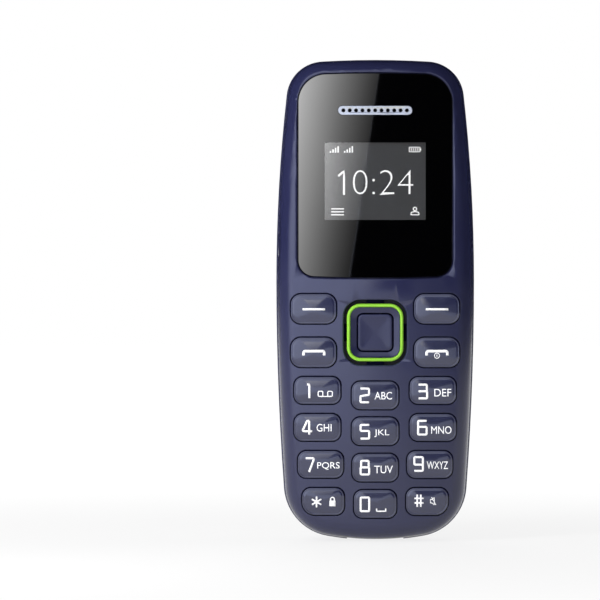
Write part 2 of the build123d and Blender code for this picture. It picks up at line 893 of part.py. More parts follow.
# Processor under the shield can
with BuildPart() as processor:
    with BuildSketch(front_plane(board_back_y)):
        with Locations((-lower_row_x, lower_row_z)):
            Rectangle(chip_size, chip_size)
    extrude(amount=-chip_thickness)
write(processor.part, "processor")

# Charging socket: a folded shell with a contact tongue, open at the phone's foot
with BuildPart() as usb_socket:
    with BuildSketch(Plane.XY.offset(usb_setback)):
        with Locations((0, usb_y)):
            RectangleRounded(usb_width, usb_depth, usb_corner_radius)
    extrude(amount=usb_length)
    with BuildSketch(Plane.XY.offset(usb_setback - cut_overrun)):
        with Locations((0, usb_y)):
            RectangleRounded(
                usb_width - 2 * usb_wall, usb_depth - 2 * usb_wall, usb_corner_radius - usb_wall
            )
    extrude(amount=usb_length - usb_back_wall + cut_overrun, mode=Mode.SUBTRACT)
    with BuildSketch(Plane.XY.offset(usb_setback + usb_back_wall)):
        with Locations((0, usb_y)):
            Rectangle(usb_tongue_width, usb_tongue_thickness)
    extrude(amount=usb_length - 2 * usb_back_wall)
write(usb_socket.part, "usb_socket")

# Microphone
with BuildPart() as microphone:
    with BuildSketch(front_plane(board_back_y)):
        with Locations((-microphone_offset, microphone_rise)):
            Rectangle(microphone_width, microphone_height)
    extrude(amount=-microphone_depth)
write(microphone.part, "microphone")


# The space inside the chassis: thin over the middle floor, deep above and below the battery
with BuildPart() as chassis_hollow:
    with BuildSketch(front_plane(part_y)):
        add(body_outline(bay_inset))
    extrude(amount=part_y - plate_y)
    fillet(chassis_hollow.faces().sort_by(Axis.Y)[-1].edges(), radius=chassis_hollow_radius)
    with BuildSketch(front_plane(floor_y)):
        with Locations((0, (lower_hollow_z + upper_hollow_z) / 2)):
            Rectangle(body_width, upper_hollow_z - lower_hollow_z)
    extrude(amount=-body_depth, mode=Mode.SUBTRACT)

# Chassis: the frame that closes the housing's back and carries the battery, speaker and motor
with BuildPart() as chassis:
    with BuildSketch(front_plane(part_y)):
        add(body_outline(chassis_inset))
    extrude(amount=part_y - chassis_back_y)
    fillet(chassis.faces().sort_by(Axis.Y)[-1].edges(), radius=chassis_edge_radius)
    add(chassis_hollow.part, mode=Mode.SUBTRACT)
    with BuildSketch(front_plane(floor_back_y)):
        with Locations((0, battery_foot_margin + battery_height / 2)):
            Rectangle(battery_width + 2 * bay_clearance, battery_height + 2 * bay_clearance)
    extrude(amount=-body_depth, mode=Mode.SUBTRACT)
    with BuildSketch(front_plane(floor_y - cut_overrun)):
        for x, z, width, height in (
            (-card_socket_x, card_socket_z, card_socket_width, card_socket_height),
            (card_socket_x, card_socket_z, card_socket_width, card_socket_height),
            (lower_row_x, lower_row_z, lower_row_width, lower_row_height),
        ):
            with Locations((x, z)):
                Rectangle(width + 2 * window_clearance, height + 2 * window_clearance)
    extrude(amount=-cut_overrun - chassis_floor_thickness, mode=Mode.SUBTRACT)
    for spots, back_y in ((upper_screws, plate_y), (middle_screws, floor_back_y)):
        with BuildSketch(front_plane(part_y)):
            with Locations(*spots):
                Circle(screw_well_radius + screw_well_wall)
            add(body_outline(chassis_inset + chassis_wall / 2), mode=Mode.INTERSECT)
        extrude(amount=part_y - back_y)
    with BuildSketch(front_plane(screw_seat_y)):
        with Locations(*screw_spots):
            Circle(screw_well_radius)
    extrude(amount=-body_depth, mode=Mode.SUBTRACT)
    with BuildSketch(front_plane(part_y - cut_overrun)):
        with Locations(*screw_spots):
            Circle(screw_hole_radius)
    extrude(amount=-body_depth, mode=Mode.SUBTRACT)
    collar = collar_clearance + collar_wall
    with BuildSketch(front_plane(plate_y - collar_depth)):
        add(
            rounded_rectangle(
                speaker_width + 2 * collar,
                speaker_height + 2 * collar,
                speaker_corner_radius + collar,
                z=speaker_z,
            )
        )
        add(
            rounded_rectangle(
                speaker_width + 2 * collar_clearance,
                speaker_height + 2 * collar_clearance,
                speaker_corner_radius + collar_clearance,
                z=speaker_z,
            ),
            mode=Mode.SUBTRACT,
        )
    extrude(amount=-collar_depth)
    with BuildSketch(front_plane(plate_y - cut_overrun)):
        with Locations((0, speaker_z)):
            SlotOverall(sound_port_length, sound_port_width)
    extrude(amount=-body_depth, mode=Mode.SUBTRACT)
    with BuildSketch(front_plane(motor_y)):
        cradle_x = motor_offset + cradle_length / 2
        cradle_far_x = motor_offset + motor_length - cradle_length / 2
        with Locations((cradle_x, motor_z), (cradle_far_x, motor_z)):
            Rectangle(cradle_length, motor_diameter + 2 * cradle_wall)
    extrude(amount=motor_y - plate_y)
    with BuildSketch(Plane.YZ):
        with Locations((motor_y, motor_z)):
            Circle(motor_diameter / 2 + cradle_clearance)
    extrude(amount=motor_offset + motor_length, mode=Mode.SUBTRACT)
    with BuildSketch(Plane.XY.offset(battery_top_z)):
        with Locations(*[(x, pad_y) for x in pad_spots]):
            Circle(pin_diameter / 2 + pin_clearance)
    extrude(amount=bay_clearance + bay_wall + cut_overrun, mode=Mode.SUBTRACT)
    with BuildSketch(Plane.XY):
        with Locations((0, usb_y)):
            RectangleRounded(
                usb_width + 2 * usb_clearance, usb_depth + 2 * usb_clearance, usb_corner_radius
            )
    extrude(amount=lower_hollow_z / 2, mode=Mode.SUBTRACT)
    with BuildSketch(Plane.XY):
        with Locations((-microphone_offset, sound_hole_y)):
            Circle(sound_hole_diameter / 2)
    extrude(amount=microphone_rise, mode=Mode.SUBTRACT)
write(chassis.part, "chassis")

# Loudspeaker: its cone faces the rear slots
with BuildPart() as loudspeaker:
    speaker_y = plate_y - gasket_thickness
    with BuildSketch(front_plane(speaker_y)):
        add(rounded_rectangle(speaker_width, speaker_height, speaker_corner_radius, z=speaker_z))
    extrude(amount=speaker_depth)
    with BuildSketch(front_plane(speaker_y)):
        with Locations((0, speaker_z)):
            Circle(speaker_cone_diameter / 2)
    extrude(amount=speaker_cone_depth, mode=Mode.SUBTRACT)
    with BuildSketch(front_plane(speaker_y - speaker_cone_depth)):
        with Locations((0, speaker_z)):
            Circle(speaker_dome_diameter / 2)
    extrude(amount=-speaker_dome_height)
write(loudspeaker.part, "loudspeaker")

# Foam gasket that seals the loudspeaker to the back plate
with BuildPart() as speaker_gasket:
    with BuildSketch(front_plane(plate_y)):
        add(rounded_rectangle(speaker_width, speaker_height, speaker_corner_radius, z=speaker_z))
        add(
            rounded_rectangle(
                speaker_width - 2 * gasket_width,
                speaker_height - 2 * gasket_width,
                speaker_corner_radius - gasket_width,
                z=speaker_z,
            ),
            mode=Mode.SUBTRACT,
        )
    extrude(amount=gasket_thickness)
write(speaker_gasket.part, "speaker_gasket")

# Vibration motor: a can with a shaft that carries a half-round weight
motor_end = motor_offset + motor_length
with BuildPart() as vibration_motor:
    with BuildSketch(Plane.YZ.offset(motor_offset)):
        with Locations((motor_y, motor_z)):
            Circle(motor_diameter / 2)
    extrude(amount=motor_length)
    fillet(vibration_motor.edges().filter_by(GeomType.CIRCLE), radius=motor_edge_radius)
    with BuildSketch(Plane.YZ.offset(motor_end)):
        with Locations((motor_y, motor_z)):
            Circle(motor_shaft_diameter / 2)
    extrude(amount=weight_gap + weight_length + shaft_end)
write(vibration_motor.part, "vibration_motor")

with BuildPart() as vibration_weight:
    with BuildSketch(Plane.YZ.offset(motor_end + weight_gap)):
        with Locations((motor_y, motor_z)):
            Circle(weight_radius)
        with Locations((motor_y, motor_z + weight_radius)):
            Rectangle(2 * weight_radius, 2 * weight_radius, mode=Mode.SUBTRACT)
        with Locations((motor_y, motor_z)):
            Circle(weight_hub_radius)
            Circle(motor_shaft_diameter / 2 + shaft_clearance, mode=Mode.SUBTRACT)
    extrude(amount=weight_length)
write(vibration_weight.part, "vibration_weight")

# Battery contact block and its sprung pins
block_z = upper_hollow_z + contact_block_gap
pin_z = battery_top_z + pad_thickness + pin_tip_gap
with BuildPart() as contact_block:
    with BuildSketch(front_plane(board_back_y)):
        with Locations((-pad_offset, block_z + contact_block_height / 2)):
            Rectangle(contact_block_width, contact_block_height)
    extrude(amount=board_back_y - pad_y - contact_block_roof)
    with BuildSketch(Plane.XY.offset(block_z - cut_overrun)):
        with Locations(*[(x, pad_y) for x in pad_spots]):
            Circle(pin_diameter / 2 + pin_clearance)
    extrude(
        amount=pin_z + pin_length + pin_travel + pin_clearance - block_z + cut_overrun,
        mode=Mode.SUBTRACT,
    )
write(contact_block.part, "contact_block")

with BuildPart() as contact_pins:
    with BuildSketch(Plane.XY.offset(pin_z)):
        with Locations(*[(x, pad_y) for x in pad_spots]):
            Circle(pin_diameter / 2)
    extrude(amount=pin_length)
    fillet(contact_pins.faces().group_by(Axis.Z)[0].edges(), radius=pin_diameter / 4)
write(contact_pins.part, "contact_pins")

# Battery pack and the pads on its upper edge
with BuildPart() as battery_pack:
    with BuildSketch(front_plane(battery_y)):
        with Locations((0, battery_foot_margin + battery_height / 2)):
            Rectangle(battery_width, battery_height)
    extrude(amount=-battery_depth)
    fillet(battery_pack.edges().filter_by(Axis.Z), radius=battery_edge_radius)
write(battery_pack.part, "battery_pack")

with BuildPart() as battery_pads:
    with BuildSketch(Plane.XY.offset(battery_top_z)):
        with Locations(*[(x, pad_y) for x in pad_spots]):
            Rectangle(pad_width, pad_depth)
    extrude(amount=pad_thickness)
write(battery_pads.part, "battery_pads")

# Antenna: a printed flex on the back of the chassis foot, slit into a folded track
with BuildPart() as antenna_flex:
    antenna_z = (lower_hollow_z + antenna_rise + chassis_edge_radius) / 2
    with BuildSketch(front_plane(chassis_back_y)):
        with Locations((0, antenna_z)):
            Rectangle(antenna_width, antenna_height)
            for side in (-1, 1):
                slit_x = side * (antenna_width - antenna_slit_length) / 2
                with Locations((slit_x, side * antenna_height / 6)):
                    Rectangle(antenna_slit_length, antenna_slit_width, mode=Mode.SUBTRACT)
    extrude(amount=-antenna_thickness)
write(antenna_flex.part, "antenna_flex")

# Chassis screws: one screw, repeated at the four bosses
with BuildPart() as screw:
    with BuildSketch(front_plane(screw_seat_y)):
        Circle(screw_shank_diameter / 2)
    extrude(amount=screw_shank_length)
    with BuildSketch(front_plane(screw_seat_y)):
        Circle(screw_head_diameter / 2)
    extrude(amount=-screw_head_height)
    with BuildSketch(front_plane(screw_seat_y + screw_head_height)):
        Rectangle(screw_recess_length, screw_recess_width)
        Rectangle(screw_recess_width, screw_recess_length)
    extrude(amount=screw_recess_depth, mode=Mode.SUBTRACT)
with BuildPart() as chassis_screws:
    with Locations(*[(x, 0, z) for x, z in screw_spots]):
        add(screw.part)
write(chassis_screws.part, "chassis_screws")

# The hollow inside the rear cover
with BuildPart() as cover_cavity:
    with BuildSketch(front_plane(cover_rim_y - cut_overrun)):
        add(body_outline(cover_wall))
    extrude(amount=cover_rim_y - cut_overrun - cover_inner_y)
    fillet(cover_cavity.faces().sort_by(Axis.Y)[-1].edges(), radius=cover_edge_radius - cover_wall)

# Rear cover: a one-piece lift-off shell with two sound slots and a shallow dip between them
with BuildPart() as rear_cover:
    with BuildSketch(front_plane(cover_rim_y)):
        add(body_outline(0))
    extrude(amount=cover_rim_y - cover_back_y)
    fillet(rear_cover.faces().sort_by(Axis.Y)[-1].edges(), radius=cover_edge_radius)
    chamfer(rear_cover.faces().sort_by(Axis.Y)[0].edges(), length=cover_rim_bevel)
    add(cover_cavity.part, mode=Mode.SUBTRACT)
    with BuildSketch(front_plane(cover_inner_y - cut_overrun)):
        with Locations((0, speaker_slot_z), (0, speaker_slot_z - speaker_slot_pitch)):
            SlotOverall(speaker_slot_length, speaker_slot_width)
    extrude(amount=-cover_wall - 2 * cut_overrun, mode=Mode.SUBTRACT)
    dip_radius = (dimple_width**2 / 4 + dimple_depth**2) / (2 * dimple_depth)
    with BuildSketch(Plane.XY.offset(speaker_z - dimple_length / 2)):
        with Locations((-dimple_offset, cover_back_y + dip_radius - dimple_depth)):
            Circle(dip_radius)
    extrude(amount=dimple_length, mode=Mode.SUBTRACT)
    with BuildSketch(Plane.XY.offset(-cut_overrun)):
        notch_back_y = usb_y + usb_depth / 2 + usb_clearance
        notch_front_y = cover_rim_y - cut_overrun
        with Locations((0, (notch_back_y + notch_front_y) / 2)):
            RectangleRounded(
                usb_width + 2 * usb_clearance, notch_back_y - notch_front_y, usb_corner_radius / 2
            )
        with Locations((-microphone_offset, sound_hole_y)):
            Circle(sound_hole_diameter / 2)
    extrude(amount=bay_inset + 2 * cut_overrun, mode=Mode.SUBTRACT)
write(rear_cover.part, "rear_cover")

# Speaker mesh on the inside of the rear cover
with BuildPart() as speaker_mesh:
    with BuildSketch(front_plane(cover_inner_y)):
        add(
            rounded_rectangle(
                speaker_slot_length + 2 * speaker_mesh_margin,
                speaker_slot_pitch + speaker_slot_width + 2 * speaker_mesh_margin,
                speaker_slot_width / 2,
                z=speaker_z,
            )
        )
    extrude(amount=speaker_mesh_thickness)
write(speaker_mesh.part, "speaker_mesh")
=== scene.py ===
# %% [markdown]
# # A small feature phone
# The real object is a bar-shaped phone a little longer than a thumb: a moulded navy housing, a
# black lens over a lit mono display, sixteen number and function keys, and a navigation key with
# a bright ring. Its construction comes ready-made as the frame, one mesh for each piece. This
# script gives every piece its finish, and rebuilds the pieces whose surface the frame only
# roughs out. All lengths are in metres, so millimetre sizes are multiplied by MM.

# %% Load the frame
import json
import math

import bmesh
import bpy
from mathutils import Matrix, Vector
from mathutils.bvhtree import BVHTree


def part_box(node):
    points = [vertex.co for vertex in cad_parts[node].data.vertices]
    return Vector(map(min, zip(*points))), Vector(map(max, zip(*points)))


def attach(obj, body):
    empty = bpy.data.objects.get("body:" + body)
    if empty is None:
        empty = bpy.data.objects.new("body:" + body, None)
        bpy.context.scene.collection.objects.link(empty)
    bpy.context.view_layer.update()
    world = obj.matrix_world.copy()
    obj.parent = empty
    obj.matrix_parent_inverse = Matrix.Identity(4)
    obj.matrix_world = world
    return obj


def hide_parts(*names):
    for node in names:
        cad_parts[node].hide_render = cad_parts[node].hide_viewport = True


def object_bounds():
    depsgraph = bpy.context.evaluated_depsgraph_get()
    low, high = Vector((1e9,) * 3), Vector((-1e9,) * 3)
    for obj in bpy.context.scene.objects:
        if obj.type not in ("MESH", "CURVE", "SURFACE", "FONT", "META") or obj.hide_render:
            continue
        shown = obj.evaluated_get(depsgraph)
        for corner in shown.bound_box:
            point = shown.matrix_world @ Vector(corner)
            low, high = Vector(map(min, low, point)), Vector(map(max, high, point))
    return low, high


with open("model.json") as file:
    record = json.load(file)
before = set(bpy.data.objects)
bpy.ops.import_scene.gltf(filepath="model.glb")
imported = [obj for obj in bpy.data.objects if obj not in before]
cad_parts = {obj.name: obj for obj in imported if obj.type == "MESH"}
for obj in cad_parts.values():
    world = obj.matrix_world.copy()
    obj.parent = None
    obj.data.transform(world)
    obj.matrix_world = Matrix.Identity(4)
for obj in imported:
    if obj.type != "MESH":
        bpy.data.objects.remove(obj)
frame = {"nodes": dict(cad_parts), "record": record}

MM = 0.001
cad_box = [list(corner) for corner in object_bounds()]
cad_nodes = frame["nodes"]

# %% [markdown]
# ## Camera first
# The photograph looks straight at the front from far away, so its sides stay parallel. A long
# lens does the same. The phone stands right of the picture's middle, which a small sideways
# shift of the lens gives without turning the camera.

# %% Camera
PHOTO_WIDTH = 84.25 * MM
PHONE_MIDDLE_SHARE = 375.2 / 600
EYE_HEIGHT = 34.0 * MM
EYE_DISTANCE = 470.0 * MM
FRONT_Y = cad_box[0][1]

camera_data = bpy.data.cameras.new("product_camera")
camera_data.lens = camera_data.sensor_width * EYE_DISTANCE / PHOTO_WIDTH
camera_data.shift_x = 0.5 - PHONE_MIDDLE_SHARE
camera_data.clip_start = 0.01
camera = bpy.data.objects.new("product_camera", camera_data)
camera.location = (0, FRONT_Y - EYE_DISTANCE, EYE_HEIGHT)
camera.rotation_euler = (math.radians(90), 0, 0)
bpy.context.scene.collection.objects.link(camera)
bpy.context.scene.camera = camera
print("camera lens", round(camera_data.lens, 1), "mm")

# %% [markdown]
# ## Small tools for materials
# Colours are picked as sRGB hex values, and Blender's shaders work in linear light, so one
# function converts them. Node trees get long quickly, so one function adds a node, sets it up
# and links it, and another starts a material.


# %% Colour and node tools
def srgb(hex_code):
    """A #RRGGBB colour as linear red, green, blue and alpha."""
    shares = [int(hex_code[i:i + 2], 16) / 255 for i in (1, 3, 5)]
    return [c / 12.92 if c <= 0.04045 else ((c + 0.055) / 1.055) ** 2.4 for c in shares] + [1.0]


def add_node(tree, kind, inputs=None, **settings):
    """Adds one node. An input is a number, a colour, another node's output or a list of outputs."""
    node = tree.nodes.new(kind)
    for name, value in settings.items():
        setattr(node, name, value)
    for key, value in (inputs or {}).items():
        given = value if isinstance(value, list) else [value]
        if isinstance(given[0], bpy.types.NodeSocket):
            for output in given:
                tree.links.new(output, node.inputs[key])
        else:
            node.inputs[key].default_value = value
    return node


def new_material(name):
    """A material, its node tree, its shader, and the place on the object that patterns read."""
    material = bpy.data.materials.new(name)
    material.use_nodes = True
    tree = material.node_tree
    place = add_node(tree, "ShaderNodeTexCoord").outputs["Object"]
    return material, tree, tree.nodes["Principled BSDF"], place


# %% [markdown]
# ## A moulded or coated surface
# Real moulded plastic is never one flat colour. The tool's spark-eroded skin gives it a fine
# grain, the pigment varies a little, and fingers polish it in patches. All three are noise at
# their real sizes. The bevel node rounds the shading of sharp edges by a tenth of a
# millimetre, as a mould does. A moulded face is also never quite flat: the crown, a bump whose
# height falls with the square of the distance from the middle, gives a flat face the soft
# swell that carries light across it.


# %% Surface recipe
HALF_WIDTH = cad_box[1][0]
NOISE_LOW, NOISE_HIGH = 0.25, 0.75
GRAIN_DEPTH_SHARE = 0.1
COAT_ROUGHNESS = 0.06


def surface(name, colour, colour_2, roughness, grain=0.12, bump=0.1, spread=0.05, metallic=0.0,
            stretch=(1, 1, 1), edge=0.0, coat=0.0, ior=1.46, mottle=9.0, crown=0.0):
    """A material with mottled colour, patchy roughness and a fine grain. The grain, the mottle and
    the rounding of edges are sizes in mm, and the crown is its slope at the sides in degrees."""
    material, tree, shader, place = new_material(name)
    laid = add_node(tree, "ShaderNodeMapping", {"Vector": place, "Scale": stretch}).outputs[0]
    grains = add_node(tree, "ShaderNodeTexNoise",
                      {"Vector": laid, "Scale": 1 / (grain * MM), "Detail": 3.0})
    clouds = add_node(tree, "ShaderNodeTexNoise",
                      {"Vector": laid, "Scale": 1 / (mottle * MM), "Detail": 4.0})
    tint = add_node(tree, "ShaderNodeMix",
                    {"Factor": clouds.outputs[0], "A": srgb(colour), "B": srgb(colour_2)},
                    data_type="RGBA")
    tree.links.new(tint.outputs["Result"], shader.inputs["Base Color"])
    patch = add_node(tree, "ShaderNodeMapRange",
                     {"Value": clouds.outputs[0], "From Min": NOISE_LOW, "From Max": NOISE_HIGH,
                      "To Min": roughness - spread, "To Max": roughness + spread},
                     interpolation_type="SMOOTHSTEP")
    tree.links.new(patch.outputs[0], shader.inputs["Roughness"])
    rounded = {}
    if edge:
        bevel = add_node(tree, "ShaderNodeBevel", {"Radius": edge * MM}, samples=4)
        rounded = {"Normal": bevel.outputs[0]}
    if crown:
        apart = add_node(tree, "ShaderNodeSeparateXYZ", {"Vector": place})
        share = add_node(tree, "ShaderNodeMath", {0: apart.outputs["X"], 1: HALF_WIDTH},
                         operation="DIVIDE")
        square = add_node(tree, "ShaderNodeMath", {0: share.outputs[0], 1: 2.0}, operation="POWER")
        rise = math.tan(math.radians(crown)) * HALF_WIDTH / 2
        swell = add_node(tree, "ShaderNodeBump",
                         {"Height": square.outputs[0], "Strength": 1.0, "Distance": rise,
                          **rounded}, invert=True)
        rounded = {"Normal": swell.outputs[0]}
    height = add_node(tree, "ShaderNodeBump",
                      {"Height": grains.outputs[0], "Strength": bump,
                       "Distance": GRAIN_DEPTH_SHARE * grain * MM, **rounded})
    tree.links.new(height.outputs[0], shader.inputs["Normal"])
    shader.inputs["Metallic"].default_value = metallic
    if not metallic:
        shader.inputs["IOR"].default_value = ior
    if coat:
        shader.inputs["Coat Weight"].default_value = coat
        shader.inputs["Coat Roughness"].default_value = COAT_ROUGHNESS
    return material


# %% [markdown]
# ## The finishes
# Each finish is named for its material and how it was made. The housing is soft-sheen painted
# ABS, the caps are UV-coated polycarbonate with more gloss, and the metal pieces are stamped
# steel, gold-flashed contacts and copper film.

# %% Finishes
housing_paint = surface("abs_soft_sheen_paint", "#2B2D50", "#2F3257", 0.18, grain=0.1, bump=0.12,
                        spread=0.03, edge=0.14, ior=1.55, crown=13.0)
cap_coating = surface("polycarbonate_uv_coated", "#272A4B", "#2B2E51", 0.2, grain=0.2, bump=0.03,
                      spread=0.02, coat=1.0)
nav_coating = surface("polycarbonate_satin_moulded", "#282A4C", "#2C2F52", 0.24, grain=0.15,
                      bump=0.06, edge=0.06, ior=1.5)
lime_acetal = surface("acetal_dyed_lime_moulded", "#9FEA38", "#ADF550", 0.3, grain=0.15, bump=0.05)
strip_steel = surface("stainless_steel_brushed", "#BFC1C4", "#D6D8DA", 0.27, grain=0.06, bump=0.25,
                      metallic=1.0, stretch=(0.05, 1, 1), edge=0.05)
stamped_steel = surface("tinned_steel_stamped", "#A9ACAF", "#BDC0C3", 0.34, grain=0.3, bump=0.15,
                        metallic=1.0, edge=0.06)
spring_steel = surface("spring_steel_rolled", "#B4B6B8", "#C5C7C9", 0.25, grain=0.08, bump=0.2,
                       metallic=1.0, stretch=(0.1, 1, 1))
black_zinc = surface("screw_steel_black_zinc", "#2B2C30", "#3C3D42", 0.4, grain=0.1, bump=0.2,
                     metallic=1.0, edge=0.05)
tungsten = surface("tungsten_sintered", "#7E8084", "#94969A", 0.5, grain=0.12, bump=0.4,
                   metallic=1.0, edge=0.06)
gold_flash = surface("brass_gold_flashed", "#C9A13C", "#DDB955", 0.22, grain=0.1, bump=0.08,
                     metallic=1.0, edge=0.04)
copper_film = surface("copper_etched_on_film", "#B06A3C", "#C67E4B", 0.3, grain=0.2, bump=0.12,
                      metallic=1.0)
amber_film = surface("polyimide_film", "#A9651E", "#B9752A", 0.28, grain=0.3, bump=0.05)
chassis_pc = surface("glass_filled_abs_moulded", "#1E1F24", "#26272D", 0.52, grain=0.14, bump=0.25,
                     edge=0.1)
speaker_pc = surface("pbt_black_moulded", "#161618", "#1D1D20", 0.45, grain=0.15, bump=0.2,
                     edge=0.08)
chip_epoxy = surface("epoxy_moulding_compound", "#141518", "#1B1C20", 0.6, grain=0.08, bump=0.3,
                     edge=0.05)
foam_black = surface("urethane_foam_cut", "#19191B", "#242427", 0.9, grain=0.12, bump=0.9)
tape_black = surface("acrylic_foam_tape", "#121214", "#1A1A1D", 0.7, grain=0.12, bump=0.4)
silicone_dark = surface("silicone_moulded_dark", "#28292F", "#2D2E34", 0.5, grain=0.2, bump=0.15)
cloth_black = surface("polyester_mesh_black", "#0E0E10", "#19191C", 0.8, grain=0.1, bump=0.8)
wire_grey = surface("polyester_mesh_grey", "#4B4C4E", "#5E5F62", 0.6, grain=0.08, bump=0.4)
print("finishes:", len(bpy.data.materials))

# %% [markdown]
# ## The rear cover's hairline
# The rear cover in the photograph carries fine lines across its width. On the tool they are
# brushed in, so the moulding shows them as long shallow scratches. Noise that is stretched
# fifty times along X draws them. It is drawn coarser than the real pitch, because the real one
# is finer than a pixel.

# %% Hairline cover finish
cover_paint = surface("abs_hairline_textured", "#272949", "#34365B", 0.27, grain=0.36, bump=0.9,
                      spread=0.03, stretch=(0.02, 1, 1), edge=0.14, mottle=0.9, ior=1.55)

# %% [markdown]
# ## The black lens
# The lens is cast acrylic, printed black on its back except for the display window. It has two
# finishes: a deep polished black for the printed part, and clear acrylic for the window. The
# reflection at a high gloss is what the photograph shows most, so its index is set well above
# acrylic's 1.49.

# %% Lens finishes
LENS_IOR = 2.0
CAST_WAVE = 14


def polished(name, colour, clear):
    """Hard-coated acrylic, either clear or black behind, with the faint waves of a cast sheet."""
    material, tree, shader, place = new_material(name)
    waves = add_node(tree, "ShaderNodeTexNoise", {"Vector": place, "Scale": 1 / (CAST_WAVE * MM)})
    flow = add_node(tree, "ShaderNodeBump",
                    {"Height": waves.outputs[0], "Strength": 0.02, "Distance": 0.2 * MM})
    tree.links.new(flow.outputs[0], shader.inputs["Normal"])
    shader.inputs["Base Color"].default_value = srgb(colour)
    shader.inputs["Roughness"].default_value = 0.015
    shader.inputs["IOR"].default_value = LENS_IOR
    shader.inputs["Transmission Weight"].default_value = 1.0 if clear else 0.0
    return material


lens_black = polished("acrylic_printed_black", "#030304", False)
lens_clear = polished("acrylic_hard_coated_clear", "#FFFFFF", True)
print("lens index", LENS_IOR)


# %% [markdown]
# ## From a frame piece to a finished skin
# A frame piece is a loose heap of triangles. A copy of it is merged at its shared corners, its
# round parts are shaded smooth, and edges sharper than thirty degrees stay crisp. Faces that
# look straight forwards or back are flat, so they keep their own shading, and the weighted
# normal modifier lets the fillets run into them without a crease.


# %% Skin tools
FLAT_LIMIT = 0.99999
CRISP_ANGLE, ROUND_ANGLE = 30, 40
SAME_CORNER = 0.0005
bodies_of = {node: body for body, nodes in frame["record"]["behaviour"]["bodies"].items()
             for node in nodes}
slots_of = {part["node"]: part["material_slot"] for part in frame["record"]["subparts"]}


def finish_piece(obj, node):
    """Attaches a finished object to the body of the frame piece it stands for, and hides that piece.
    """
    body, slot = bodies_of[node], slots_of[node]
    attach(obj, body)
    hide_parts(node)


def in_scene(name, data):
    """A new object with the given data, linked to the scene."""
    obj = bpy.data.objects.new(name, data)
    bpy.context.scene.collection.objects.link(obj)
    return obj


def link_mesh(name, mesh, *materials):
    """Makes an object of a mesh, with its materials, in the scene."""
    obj = in_scene(name, mesh)
    mesh.materials.clear()
    for material in materials:
        mesh.materials.append(material)
    return obj


def mesh_of(work, name):
    """Writes a bmesh to a new mesh and frees it."""
    mesh = bpy.data.meshes.new(name)
    work.to_mesh(mesh)
    work.free()
    return mesh


def shade(obj, angle=CRISP_ANGLE):
    """Smooth shading with crisp edges above the angle, and flat faces kept flat."""
    mesh = obj.data
    for face in mesh.polygons:
        face.use_smooth = abs(face.normal.y) < FLAT_LIMIT
    mesh.set_sharp_from_angle(angle=math.radians(angle))
    weighted = obj.modifiers.new("flat_faces", "WEIGHTED_NORMAL")
    weighted.keep_sharp = True
    weighted.weight = 100


def merged(node):
    """A bmesh copy of a frame piece with its shared corners merged."""
    work = bmesh.new()
    work.from_mesh(cad_nodes[node].data)
    bmesh.ops.remove_doubles(work, verts=work.verts, dist=SAME_CORNER * MM)
    return work


def sliced(work, place, normal, dist=1e-8, drop_front=False):
    """Cuts a bmesh along a plane, and returns what lies on the cut."""
    everything = work.verts[:] + work.edges[:] + work.faces[:]
    return bmesh.ops.bisect_plane(work, geom=everything, dist=dist, plane_co=place,
                                  plane_no=normal, clear_inner=drop_front)["geom_cut"]


def skin(node, material):
    """A merged, smoothly shaded copy of a frame piece."""
    obj = link_mesh(node + "_skin", mesh_of(merged(node), node + "_skin"), material)
    shade(obj)
    return obj


plain_skins = {
    "front_housing": housing_paint, "rear_cover": cover_paint, "earpiece_strip": strip_steel,
    "lens_adhesive": tape_black, "earpiece_dust_mesh": cloth_black,
    "earpiece_receiver": stamped_steel, "display_ribbon": amber_film, "nav_rocker": spring_steel,
    "keypad_mat": silicone_dark, "sim_socket_1": stamped_steel, "sim_socket_2": stamped_steel,
    "memory_card_socket": stamped_steel, "shield_can": stamped_steel, "processor": chip_epoxy,
    "usb_socket": stamped_steel, "microphone": stamped_steel, "chassis": chassis_pc,
    "loudspeaker": speaker_pc, "speaker_gasket": foam_black, "vibration_motor": stamped_steel,
    "vibration_weight": tungsten, "contact_block": chip_epoxy, "contact_pins": gold_flash,
    "battery_pads": gold_flash, "antenna_flex": copper_film,
}
for node, material in plain_skins.items():
    finish_piece(skin(node, material), node)
print("skins:", len(plain_skins))


# %% [markdown]
# ## Key caps
# A cap has a narrow flat rim, a fine step inside it and a gently crowned top, which is why the
# photograph shows a light line inside each key's edge. The frame's cap gives the outline, so the
# script cuts it across, reads the loop and stacks rings on it: each ring is the loop moved in
# or scaled, at its own height. The lip and boss behind the wall are kept from the frame.


# %% Loop tools
OVERSAMPLE = 8


def cut_loops(work, y):
    """The closed loops where a plane across Y cuts a mesh, longest first, as lists of (x, z)."""
    cut = sliced(work, (0, y, 0), (0, 1, 0), dist=1e-7, drop_front=True)
    edges = {e for e in cut if isinstance(e, bmesh.types.BMEdge)}
    loops = []
    while edges:
        edge = edges.pop()
        start, here = edge.verts
        loop = [start, here]
        while True:
            onward = next((e for e in here.link_edges if e in edges), None)
            if onward is None:
                break
            edges.discard(onward)
            here = onward.other_vert(here)
            if here is start:
                break
            loop.append(here)
        loops.append([(v.co.x, v.co.z) for v in loop])
    return sorted(loops, key=lambda loop: -perimeter(loop))


def perimeter(loop):
    """The length round a closed loop of points."""
    return sum(math.dist(a, b) for a, b in zip(loop, loop[1:] + loop[:1]))


